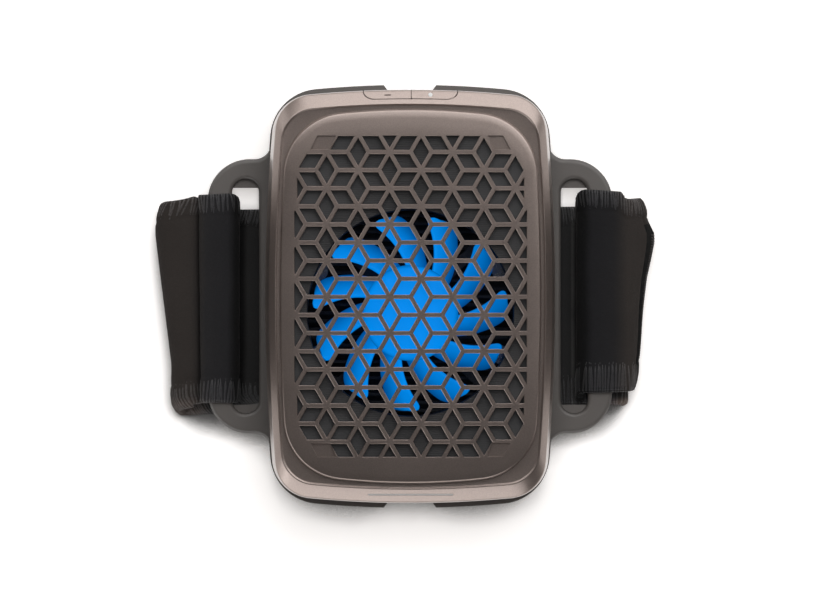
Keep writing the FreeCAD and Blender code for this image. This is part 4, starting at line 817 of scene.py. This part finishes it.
def rounded_profile(pts, per=6):
    """A polyline (u, z, r) with its corners rounded; u may be a pair."""
    out = []
    P = [np.array(p[:-1], float) for p in pts]
    for i, p in enumerate(pts):
        r = p[-1]
        if r <= 0 or i in (0, len(pts) - 1):
            out.append(P[i])
            continue
        d0, d1 = P[i - 1] - P[i], P[i + 1] - P[i]
        l0, l1 = np.linalg.norm(d0), np.linalg.norm(d1)
        a = P[i] + d0 / l0 * min(r, l0 * 0.49)
        b = P[i] + d1 / l1 * min(r, l1 * 0.49)
        for k in range(per + 1):
            t = k / per
            out.append(a * (1 - t) ** 2 + P[i] * 2 * t * (1 - t) + b * t * t)
    return out


def ring_mesh(name, rings, mat, loop=False, cap0=False, cap1=False, angle=None):
    n = len(rings[0][0])
    verts, faces = [], []
    for xy, z in rings:
        zz = z if hasattr(z, "__len__") else [z] * n
        verts += [(p[0], p[1], h) for p, h in zip(xy, zz)]
    k = len(rings)
    for i in range(k if loop else k - 1):
        a, b = i * n, ((i + 1) % k) * n
        for j in range(n):
            c = (j + 1) % n
            faces.append((a + j, a + c, b + c, b + j))
    if cap0:
        faces.append(tuple(range(n))[::-1])
    if cap1:
        faces.append(tuple((k - 1) * n + j for j in range(n)))
    ob = new_object(name, np.array(verts) * MM, faces, mat, angle=angle)
    outward(ob)
    return ob


def boolean(ob, tools, op="DIFFERENCE"):
    """Cuts with the tools, keeps the result as plain mesh and drops the tools."""
    for t in tools:
        m = ob.modifiers.new("cut", "BOOLEAN")
        m.operation = op
        m.solver = "EXACT"
        m.object = t
    dg = bpy.context.evaluated_depsgraph_get()
    me = bpy.data.meshes.new_from_object(ob.evaluated_get(dg))
    ob.modifiers.clear()
    old = ob.data
    ob.data = me
    bpy.data.meshes.remove(old)
    for t in tools:
        d = t.data
        bpy.data.objects.remove(t)
        bpy.data.meshes.remove(d)
    return ob


def shade(ob, angle):
    me = ob.data
    me.polygons.foreach_set("use_smooth", [True] * len(me.polygons))
    me.set_sharp_from_angle(angle=math.radians(angle))


def key_outline(x0, x1, z0, z1, tl, tr, bl=1.2, br=1.2, seg=10):
    """The buttons' outline in XZ: the top corners are long in X and short in Z."""
    pts = []
    for cx, cz, rx, rz, a0 in (
        (x1 - tr, z1 - tr * 0.43, tr, tr * 0.43, 0), (x0 + tl, z1 - tl * 0.43, tl, tl * 0.43, 90),
        (x0 + bl, z0 + bl, bl, bl, 180), (x1 - br, z0 + br, br, br, 270),
    ):
        for k in range(seg + 1):
            a = math.radians(a0 + 90 * k / seg)
            pts.append((cx + rx * math.cos(a), cz + rz * math.sin(a)))
    return pts


def xz_prism(name, pts, y0, y1):
    n = len(pts)
    verts = [(x, y, z) for y in (y0, y1) for x, z in pts]
    faces = [(j, (j + 1) % n, n + (j + 1) % n, n + j) for j in range(n)]
    faces += [tuple(range(n))[::-1], tuple(range(n, 2 * n))]
    ob = new_object(name, np.array(verts) * MM, faces, None, smooth=False)
    outward(ob)
    return ob


def disc_tool(name, r, x, y, z0, z1, seg=28):
    sec = [(x + r * math.cos(2 * math.pi * k / seg), y + r * math.sin(2 * math.pi * k / seg)) for k in range(seg)]
    verts = [(p[0], p[1], z) for z in (z0, z1) for p in sec]
    faces = [(j, (j + 1) % seg, seg + (j + 1) % seg, seg + j) for j in range(seg)]
    faces += [tuple(range(seg))[::-1], tuple(range(seg, 2 * seg))]
    ob = new_object(name, np.array(verts) * MM, faces, None, smooth=False)
    outward(ob)
    return ob


def slot_tool(name, hx, hy, x, y, z0, z1, seg=10):
    """A standing bar with round ends, long in X."""
    sec = []
    for side, a0 in ((1, -90), (-1, 90)):
        for k in range(seg + 1):
            a = math.radians(a0 + 180 * k / seg)
            sec.append((x + side * (hx - hy) + hy * math.cos(a), y + hy * math.sin(a)))
    n = len(sec)
    verts = [(p[0], p[1], z) for z in (z0, z1) for p in sec]
    faces = [(j, (j + 1) % n, n + (j + 1) % n, n + j) for j in range(n)]
    faces += [tuple(range(n))[::-1], tuple(range(n, 2 * n))]
    ob = new_object(name, np.array(verts) * MM, faces, None, smooth=False)
    outward(ob)
    return ob


def build_front_shell():
    # outer profile: (inset at the sides, inset at the ends, corner radius, z, rounding)
    prof = rounded_profile([
        (0.35, 0.35, 11.5, 24.0, 0),
        (0.0, 0.0, 11.8, 24.45, 0.3),
        (0.80, 0.42, 10.95, 38.4, 3.0),
        (1.12, 0.62, 10.6, 41.5, 0.6),
        (3.08, 4.56, 9.6, 43.97, 0.40),
        (3.55, 4.90, 9.3, 43.62, 0.16),
        (3.9, 5.3, 9.2, 43.58, 0.2),
    ], 7)
    rings = [(body_ring(s, e, r), z) for s, e, r, z in prof]
    global OUTER
    OUTER = list(rings)
    # the ledge falls a little towards the panel, whose foot stands on its edge
    rings.append((bowed_ring(73.0, 104.7, 17.2, 185), 43.56))
    rings.append((bowed_ring(72.8, 104.5, 17.2, 185), 43.4))
    rings.append((bowed_ring(72.8, 104.5, 17.2, 185), 42.4))
    rings.append((bowed_ring(67, 95, 9, 4000), 42.4))
    rings.append((bowed_ring(67, 95, 9, 4000), 40.0))
    rings.append((body_ring(2.8, 2.8, 9.0), 40.0))
    rings.append((body_ring(2.8, 2.8, 9.0), 24.0))
    ob = ring_mesh("front_shell_skin", rings, "housing", loop=True)
    tools = [
        xz_prism("t1", key_outline(-13.35, 13.35, 33.8, 43.15, 3.5, 3.5), 52.9, 60.0),
        slot_tool("t2", 12.0, 0.24, 0.0, -55.7, 38.9, 45.0),
    ]
    boolean(ob, tools)
    shade(ob, 32)
    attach(ob, "main_unit")
    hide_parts("front_shell")
    return ob


# the grille's cells, as in the CAD
def shrink(pts, d):
    n = len(pts)
    out = []
    for i in range(n):
        p0, p1, p2 = pts[i - 1], pts[i], pts[(i + 1) % n]
        a = (p1[0] - p0[0], p1[1] - p0[1])
        b = (p2[0] - p1[0], p2[1] - p1[1])
        la, lb = math.hypot(*a), math.hypot(*b)
        na, nb = (-a[1] / la, a[0] / la), (-b[1] / lb, b[0] / lb)
        k = 1 + na[0] * nb[0] + na[1] * nb[1]
        out.append((p1[0] + d * (na[0] + nb[0]) / k, p1[1] + d * (na[1] + nb[1]) / k))
    return out


def clip(pts, nx, ny, c):
    out = []
    for i in range(len(pts)):
        p, q = pts[i], pts[(i + 1) % len(pts)]
        fp, fq = nx * p[0] + ny * p[1] - c, nx * q[0] + ny * q[1] - c
        if fp <= 0:
            out.append(p)
        if (fp < 0 < fq) or (fq < 0 < fp):
            k = fp / (fp - fq)
            out.append((p[0] + k * (q[0] - p[0]), p[1] + k * (q[1] - p[1])))
    clean = []
    for p in out:
        if not clean or math.hypot(p[0] - clean[-1][0], p[1] - clean[-1][1]) > 1e-6:
            clean.append(p)
    if len(clean) > 1 and math.hypot(clean[0][0] - clean[-1][0], clean[0][1] - clean[-1][1]) < 1e-6:
        clean.pop()
    return clean


def poly_area(pts):
    return 0.5 * sum(
        pts[i][0] * pts[(i + 1) % len(pts)][1] - pts[(i + 1) % len(pts)][0] * pts[i][1]
        for i in range(len(pts))
    )


def grille_cells():
    c, s_, half = 8.832, 10.165, 0.6
    open_ = []
    blind = [
        [(-28.07, 41.2), (-22.7, 41.2), (-20.9, 45.1), (-26.2, 45.1)],
        [(23.4, 41.2), (28.07, 41.2), (26.0, 45.1), (21.6, 45.1)],
        [(-28.07, -41.2), (-26.2, -45.1), (-20.7, -45.1), (-22.5, -41.2)],
        [(22.9, -41.0), (21.6, -45.0), (26.0, -45.0), (28.07, -41.0)],
    ]
    for k in range(-6, 6):
        x = 2.975 + c * k
        shift = 0 if k % 2 == 0 else -s_ / 2
        for n in range(-2, 12):
            y = 45.6 - s_ * n + shift
            for quad in (
                [(x, y), (x + c / 3, y + s_ / 2), (x, y + s_), (x - c / 3, y + s_ / 2)],
                [(x, y), (x + 2 * c / 3, y), (x + c, y + s_ / 2), (x + c / 3, y + s_ / 2)],
                [(x, y), (x + c / 3, y - s_ / 2), (x + c, y - s_ / 2), (x + 2 * c / 3, y)],
            ):
                p = shrink(quad, half)
                my = sum(q[1] for q in p) / len(p)
                lx = 32.6 if abs(my) < 25.9 else 31.8
                for nx, ny, lim in ((1, 0, lx), (-1, 0, lx), (0, 1, 45.13), (0, -1, 45.05)):
                    p = clip(p, nx, ny, lim)
                    if len(p) < 3:
                        break
                if len(p) < 3 or poly_area(p) < 1.2:
                    continue
                mx = sum(q[0] for q in p) / len(p)
                my = sum(q[1] for q in p) / len(p)
                if abs(mx) + abs(my) > 70.5 or (abs(mx) > 21.2 and abs(my) > 42):
                    continue
                open_.append(p)
    return open_, blind


def grille_tool(name, cells, z0, z_rim, flare):
    """All the cells as one set of prisms that widen at the rim."""
    verts, faces = [], []
    for p in cells:
        n = len(p)
        wide = shrink(p, -flare)
        for q, z in ((p, z0), (p, z_rim - flare), (wide, z_rim), (wide, z_rim + 1.2)):
            verts += [(a, b, z) for a, b in q]
        base = len(verts) - 4 * n
        for i in range(3):
            for j in range(n):
                c = (j + 1) % n
                faces.append((base + i * n + j, base + i * n + c, base + (i + 1) * n + c, base + (i + 1) * n + j))
        faces.append(tuple(base + j for j in range(n))[::-1])
        faces.append(tuple(base + 3 * n + j for j in range(n)))
    ob = new_object(name, np.array(verts) * MM, faces, None, smooth=False)
    outward(ob)
    return ob


def build_front_panel():
    # (inset side, inset end, z, rounding): upright foot, soft slope, pillow, flat
    prof = rounded_profile([
        (0.45, 0.45, 42.4, 0),
        (0.45, 0.45, 43.61, 0),
        (0.0, 0.0, 43.61, 0.05),
        (0.05, 0.05, 44.3, 0.2),
        (0.42, 0.45, 44.93, 0.35),
        (1.6, 2.0, 45.13, 0.8),
        (3.4, 5.6, 45.33, 1.6),
        (5.0, 9.4, 45.4, 0),
    ], 7)
    rings = [(bowed_ring(66.4, 94.4, 8.6, 4000), 43.3), (bowed_ring(66.4, 94.4, 8.6, 4000), 42.4)]
    rings += [(panel_ring(s, e), z) for s, e, z in prof]
    ob = ring_mesh("front_panel_skin", rings, "housing", cap0=True, cap1=True)
    open_, blind = grille_cells()
    boolean(ob, [
        grille_tool("t1", open_, 41.0, 45.4, 0.16),
        grille_tool("t2", blind, 44.45, 45.4, 0.10),
    ])
    shade(ob, 28)
    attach(ob, "main_unit")
    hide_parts("front_panel")
    return ob


def soft_edges(ob, width, angle=42, seg=2):
    m = ob.modifiers.new("edges", "BEVEL")
    m.width = width * MM
    m.segments = seg
    m.limit_method = "ANGLE"
    m.angle_limit = math.radians(angle)
    m.harden_normals = False


def build_buttons():
    """Two keys cut from the housing's own skin, on a push stem each."""
    for name, body, x0, x1, tl, tr, bl, br, sx in (
        ("key_left", "button_left_body", -13.16, 0.11, 3.4, 0.25, 1.1, 0.25, -1),
        ("key_right", "button_right_body", 0.29, 13.16, 0.25, 3.4, 0.25, 1.1, 1),
    ):
        ob = ring_mesh(name, OUTER, "housing", cap0=True, cap1=True)
        boolean(ob, [xz_prism("t", key_outline(x0, x1, 33.98, 42.97, tl, tr, bl, br), 54.3, 60.0)], "INTERSECT")
        cuts = []
        if sx > 0:
            cuts.append(disc_tool("t", 0.6, 5.6, 56.65, 40.0, 45.0))
        else:
            # a small shallow mark to find the key by touch
            d = slot_tool("t", 0.95, 0.26, -6.4, 56.6, 42.22, 45.0)
            cuts.append(d)
        boolean(ob, cuts)
        shade(ob, 30)
        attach(ob, body)
        node = "button_left" if sx < 0 else "button_right"
        # the stem behind the key
        sec, rings = 20, []
        for y, r in ((54.40, 1.45), (54.24, 1.5), (54.21, 1.5), (54.14, 1.35)):
            rings.append([(6.6 * sx + r * math.cos(2 * math.pi * k / sec), y, 37.4 + r * math.sin(2 * math.pi * k / sec)) for k in range(sec)])
        verts = [p for q in rings for p in q]
        faces = [(i * sec + k, i * sec + (k + 1) % sec, (i + 1) * sec + (k + 1) % sec, (i + 1) * sec + k)
                 for i in range(3) for k in range(sec)]
        faces += [tuple(range(sec))[::-1], tuple(3 * sec + k for k in range(sec))]
        st = new_object(name + "_stem", np.array(verts) * MM, faces, "housing", angle=40)
        outward(st)
        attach(st, body)
        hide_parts(node)


def build_status_light():
    ob = ring_mesh("status_window", [(r, z - 0.04) for r, z in OUTER], "window", cap0=True, cap1=True)
    boolean(ob, [slot_tool("t", 11.97, 0.21, 0.0, -55.7, 38.9, 45.0)], "INTERSECT")
    shade(ob, 30)
    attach(ob, "main_unit")
    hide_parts("status_light")


FAN = (0.0, -4.7)


def build_screen():
    """The dark screen behind the grille: fine louvres with a round opening for the fan."""
    R, X, Y = 29.2, 33.0, 47.0
    z0, z1 = 41.5, 42.22
    pitch = 0.52
    ys = set([-Y, Y, FAN[1] - R, FAN[1] + R])
    k = int(2 * Y / pitch)
    for i in range(k + 1):
        for f in (0.0, 0.30, 0.62, 0.80):
            y = -Y + (i + f) * pitch
            if y < Y:
                ys.add(round(y, 4))
    for i in range(1, 16):
        for sg in (-1, 1):
            ys.add(round(FAN[1] + sg * R * math.cos(math.radians(i * 1.6)), 4))
    ys = sorted(ys)
    verts, faces = [], []
    for y in ys:
        f = ((y + Y) / pitch) % 1.0
        # each louvre leans: a slow rise and a quick fall
        h = np.interp(f, [0, 0.30, 0.62, 0.80, 1.0], [0.0, 0.02, 0.16, 0.0, 0.0])
        if abs(y) > Y - 0.8:
            h = 0.1
        d = y - FAN[1]
        a = math.sqrt(max(R * R - d * d, 0.0))
        for x in (-X, -a, a, X):
            rim = 0.1 if (abs(abs(x) - X) < 1e-6) else h
            verts.append((x, y, z1 + rim - 0.1))
        for x in (-X, -a, a, X):
            verts.append((x, y, z0))
    n = len(ys)
    v = lambda i, j: i * 8 + j
    for i in range(n - 1):
        for a, b in ((0, 1), (2, 3)):
            faces.append((v(i, a), v(i, b), v(i + 1, b), v(i + 1, a)))
            faces.append((v(i, a + 4), v(i + 1, a + 4), v(i + 1, b + 4), v(i, b + 4)))
        for a in (0, 1, 2, 3):
            faces.append((v(i, a), v(i + 1, a), v(i + 1, a + 4), v(i, a + 4)))
    for i in (0, n - 1):
        faces.append((v(i, 0), v(i, 1), v(i, 5), v(i, 4)))
        faces.append((v(i, 2), v(i, 3), v(i, 7), v(i, 6)))
    ob = new_object("screen_louvres", np.array(verts) * MM, faces, "screen", smooth=False)
    bm = bmesh.new()
    bm.from_mesh(ob.data)
    bmesh.ops.remove_doubles(bm, verts=bm.verts, dist=1e-6)
    seen, drop = {}, []
    for f in bm.faces:
        key = frozenset(x.index for x in f.verts)
        if len(key) < 3 or f.calc_area() < 1e-13:
            drop.append(f)
        elif key in seen:
            drop += [f, seen[key]]
        seen[key] = f
    bmesh.ops.delete(bm, geom=list(set(drop)), context="FACES_ONLY")
    bmesh.ops.recalc_face_normals(bm, faces=bm.faces)
    bm.to_mesh(ob.data)
    bm.free()
    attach(ob, "main_unit")
    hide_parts("air_screen")


def build_rotor():
    """Cupped hub and eleven swept, twisted blades of translucent blue."""
    cx, cy = FAN
    prof = [(0.0, 40.32), (4.0, 40.30), (8.0, 40.22), (11.0, 40.02), (12.4, 39.72), (13.1, 39.25), (13.45, 38.6),
            (13.5, 37.6), (13.5, 29.3), (13.4, 29.2), (12.4, 29.2), (12.32, 29.3), (12.32, 38.6), (11.6, 39.0), (0.0, 39.0)]
    seg = 72
    verts, faces = [(cx, cy, prof[0][1])], []
    rows = prof[1:-1]
    for r, z in rows:
        for k in range(seg):
            t = 2 * math.pi * k / seg
            verts.append((cx + r * math.cos(t), cy + r * math.sin(t), z))
    verts.append((cx, cy, prof[-1][1]))
    last = len(verts) - 1
    for k in range(seg):
        c = (k + 1) % seg
        faces.append((0, 1 + k, 1 + c))
        for i in range(len(rows) - 1):
            a, b = 1 + i * seg, 1 + (i + 1) * seg
            faces.append((a + k, b + k, b + c, a + c))
        a = 1 + (len(rows) - 1) * seg
        faces.append((a + c, a + k, last))
    nr, nu = 22, 18
    for b in range(11):
        grid = np.zeros((nr, nu, 3))
        thick = np.zeros((nr, nu))
        for i in range(nr):
            v = i / (nr - 1)
            r = 12.9 + (27.55 - 12.9) * (1 - (1 - v) ** 1.25)
            g = 5.0 + (r - 16.0) * (14.0 / 9.0)
            gap = float(np.interp(r, [13, 16, 21, 27.6], [7.0, 9.4, 12.0, 14.0]))
            lo, hi = g + gap / 2, g + 32.727 - gap / 2
            # the tip's corners are round
            e = max(0.0, (r - 25.3) / 2.25)
            cut = (1 - math.sqrt(max(0.0, 1 - min(e, 1.0) ** 2))) * 5.2
            lo, hi = lo + cut * 0.8, hi - cut
            for j in range(nu):
                u = j / (nu - 1)
                u = 0.5 - 0.5 * math.cos(math.pi * u)
                t = math.radians(lo + (hi - lo) * u + b * 32.727)
                rise = float(np.interp(r, [12.9, 27.5], [6.2, 5.6]))
                z = 34.4 + (u - 0.5) * rise + 1.1 * (0.25 - (u - 0.5) ** 2) * 4 * 0.6
                grid[i, j] = (cx + r * math.cos(t), cy + r * math.sin(t), z)
                rim = min(u, 1 - u) * (hi - lo) * math.pi / 180 * r
                tip = 27.56 - r
                q = min(rim, tip + 0.02)
                base = float(np.interp(r, [12.9, 27.5], [1.25, 0.85]))
                thick[i, j] = base / 2 * math.sqrt(max(0.0, 1 - (1 - min(q / 0.5, 1.0)) ** 2)) + 0.02
        du = np.gradient(grid, axis=0)
        dv = np.gradient(grid, axis=1)
        N = np.cross(du, dv)
        N /= np.maximum(np.linalg.norm(N, axis=2, keepdims=True), 1e-9)
        N[N[:, :, 2] < 0] *= -1
        base = len(verts)
        for sgn in (1, -1):
            verts += [tuple(p) for p in (grid + sgn * N * thick[:, :, None]).reshape(-1, 3)]
        f = lambda s_, i, j: base + s_ * nr * nu + i * nu + j
        for i in range(nr - 1):
            for j in range(nu - 1):
                faces.append((f(0, i, j), f(0, i + 1, j), f(0, i + 1, j + 1), f(0, i, j + 1)))
                faces.append((f(1, i, j), f(1, i, j + 1), f(1, i + 1, j + 1), f(1, i + 1, j)))
        for i in range(nr - 1):
            faces.append((f(0, i, 0), f(1, i, 0), f(1, i + 1, 0), f(0, i + 1, 0)))
            faces.append((f(0, i, nu - 1), f(0, i + 1, nu - 1), f(1, i + 1, nu - 1), f(1, i, nu - 1)))
        for j in range(nu - 1):
            faces.append((f(0, 0, j), f(0, 0, j + 1), f(1, 0, j + 1), f(1, 0, j)))
            faces.append((f(0, nr - 1, j), f(1, nr - 1, j), f(1, nr - 1, j + 1), f(0, nr - 1, j + 1)))
    ob = new_object("rotor_blades", np.array(verts) * MM, faces, "fan_blue", angle=50)
    outward(ob)
    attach(ob, "fan_rotor_body")
    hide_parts("fan_rotor")


build_front_shell()
build_front_panel()
build_buttons()
build_status_light()
build_screen()
build_rotor()


# ---------------------------------------------------------------- light and floor
def area(name, loc, aim, size, power, color=(1, 1, 1), size_y=None, glossy=True, diffuse=True):
    d = bpy.data.lights.new(name, "AREA")
    d.shape = "RECTANGLE" if size_y else "SQUARE"
    d.size = size
    if size_y:
        d.size_y = size_y
    d.energy = power
    d.color = color
    o = bpy.data.objects.new(name, d)
    scene.collection.objects.link(o)
    o.location = loc
    o.rotation_mode = "QUATERNION"
    o.rotation_quaternion = (V(aim) - V(loc)).to_track_quat("-Z", "Y")
    o.visible_glossy = glossy
    o.visible_diffuse = diffuse
    o.visible_camera = False
    return o


def card(name, loc, aim, size, size_y, radiance, color=(1, 1, 1), **k):
    """An area light of a given radiance: power = pi * area * radiance."""
    return area(name, loc, aim, size, math.pi * size * size_y * radiance, color, size_y, **k)


def studio():
    scene.view_settings.view_transform = "Standard"
    scene.view_settings.look = "None"
    w = bpy.data.worlds.new("world")
    scene.world = w
    w.use_nodes = True
    bg = w.node_tree.nodes["Background"]
    bg.inputs[0].default_value = (1.0, 1.0, 1.0, 1)
    bg.inputs[1].default_value = 0.08
    # floor: white, and bright enough of itself that only the closest shadows show
    bm = bmesh.new()
    s = 3.0
    vs = [bm.verts.new((x, y, 0)) for x, y in ((-s, -s), (s, -s), (s, s), (-s, s))]
    bm.faces.new(vs)
    me = bpy.data.meshes.new("floor")
    bm.to_mesh(me)
    bm.free()
    fl = bpy.data.objects.new("floor", me)
    scene.collection.objects.link(fl)
    a = Mat("floor_white", (0.90, 0.90, 0.90), 0.9, 0.0, 0.0)
    # painted close shadows: the floor's colour and glow follow the sky seen from each spot, looked at towards the light
    shadow_ao = a.n("ShaderNodeAmbientOcclusion", samples=16)
    shadow_ao.inputs["Distance"].default_value = 0.0125
    lean = a.n("ShaderNodeCombineXYZ")
    for i, c in enumerate((0.06, 0.78, 0.62)):
        lean.inputs[i].default_value = c
    a.link(lean.outputs[0], shadow_ao.inputs["Normal"])
    seen = a.range(shadow_ao.outputs["AO"], 0.45, 0.73, 0.08, 1.0)
    # painted light: the floor under the upper ends of the wings' slots is kept bright, as if light fell straight
    # through them
    spot = a.n("ShaderNodeSeparateXYZ")
    a.link(a.obj(), spot.inputs[0])
    ax = a.math("ABSOLUTE", spot.outputs[0])
    painted_slot_light = a.math("MULTIPLY", a.range(ax, 0.0425, 0.0440, 0.0, 1.0), a.range(ax, 0.0500, 0.0515, 1.0, 0.0))
    painted_slot_light = a.math("MULTIPLY", painted_slot_light, a.range(spot.outputs[1], 0.022, 0.027, 0.0, 1.0))
    painted_slot_light = a.math("MULTIPLY", painted_slot_light, a.range(spot.outputs[1], 0.0325, 0.0345, 1.0, 0.0))
    seen = a.math("MAXIMUM", seen, a.math("MULTIPLY", painted_slot_light, 0.88))
    # the painted shadow and the painted slot light set both the floor's colour and its glow
    a.color(a.mix(a.math("MINIMUM", seen, 1.0), (0.0, 0.0, 0.0), (0.90, 0.90, 0.90)))
    a.set("Emission Color", (1.0, 0.955, 0.925, 1.0))
    a.link(a.math("MULTIPLY", seen, 0.57), a.b.inputs["Emission Strength"])
    a.m.cycles.emission_sampling = "NONE"
    me.materials.append(a.m)
    # soft light for everything matt, from almost straight above
    card("fill_overhead", (0.10, 0.36, 1.7), (0, 0, 0), 1.0, 1.0, 6.6, glossy=False)
    # soft boxes that the satin paint mirrors
    card("box_over", (0.0, 0.10, 1.3), (0, 0, 0.04), 2.6, 0.8, 0.03, diffuse=False)
    card("box_near", (0.05, 0.27, 0.37), (0, 0.08, 0.04), 0.9, 0.28, 2.75, diffuse=False)
    card("box_top", (0.45, 1.2, 0.50), (0, 0, 0.04), 2.2, 0.6, 2.7, diffuse=False)
    card("box_bottom", (-0.30, -1.2, 0.50), (0, 0, 0.04), 2.2, 0.6, 2.7, diffuse=False)
    card("box_right", (1.3, 0.1, 0.35), (0, 0, 0.04), 1.0, 0.4, 0.5, diffuse=False)
    card("box_corner_low", (-1.12, -0.58, 0.30), (0, 0, 0.04), 0.7, 0.45, 2.5, diffuse=False)
    card("box_corner_high", (-1.12, 0.60, 0.30), (0, 0, 0.04), 0.7, 0.45, 1.8, diffuse=False)
    # flags beside the unit: only the gloss on the two long bevels sees them
    for name, x, tone in (("flag_left", -0.105, 0.02), ("flag_right", 0.105, 0.06)):
        me = bpy.data.meshes.new(name)
        sg = 1 if x > 0 else -1
        me.from_pydata([(x, -0.032, 0.0), (x, 0.034, 0.0), (x, 0.034, 0.11), (x, -0.032, 0.11),
                        (0.044 * sg, -0.036, 0.0004), (0.044 * sg, 0.038, 0.0004), (x, 0.038, 0.0004), (x, -0.036, 0.0004)],
                       [], [(0, 1, 2, 3), (4, 5, 6, 7)])
        ob = bpy.data.objects.new(name, me)
        scene.collection.objects.link(ob)
        f = Mat(name, (0.0, 0.0, 0.0), 1.0, 0.0, 0.0)
        f.set("Emission Color", (tone, tone * 0.95, tone * 0.92, 1.0))
        f.set("Emission Strength", 1.0)
        f.m.cycles.emission_sampling = "NONE"
        me.materials.append(f.m)
        ob.visible_camera = ob.visible_diffuse = ob.visible_shadow = False
        ob.visible_transmission = ob.visible_volume_scatter = False


studio()
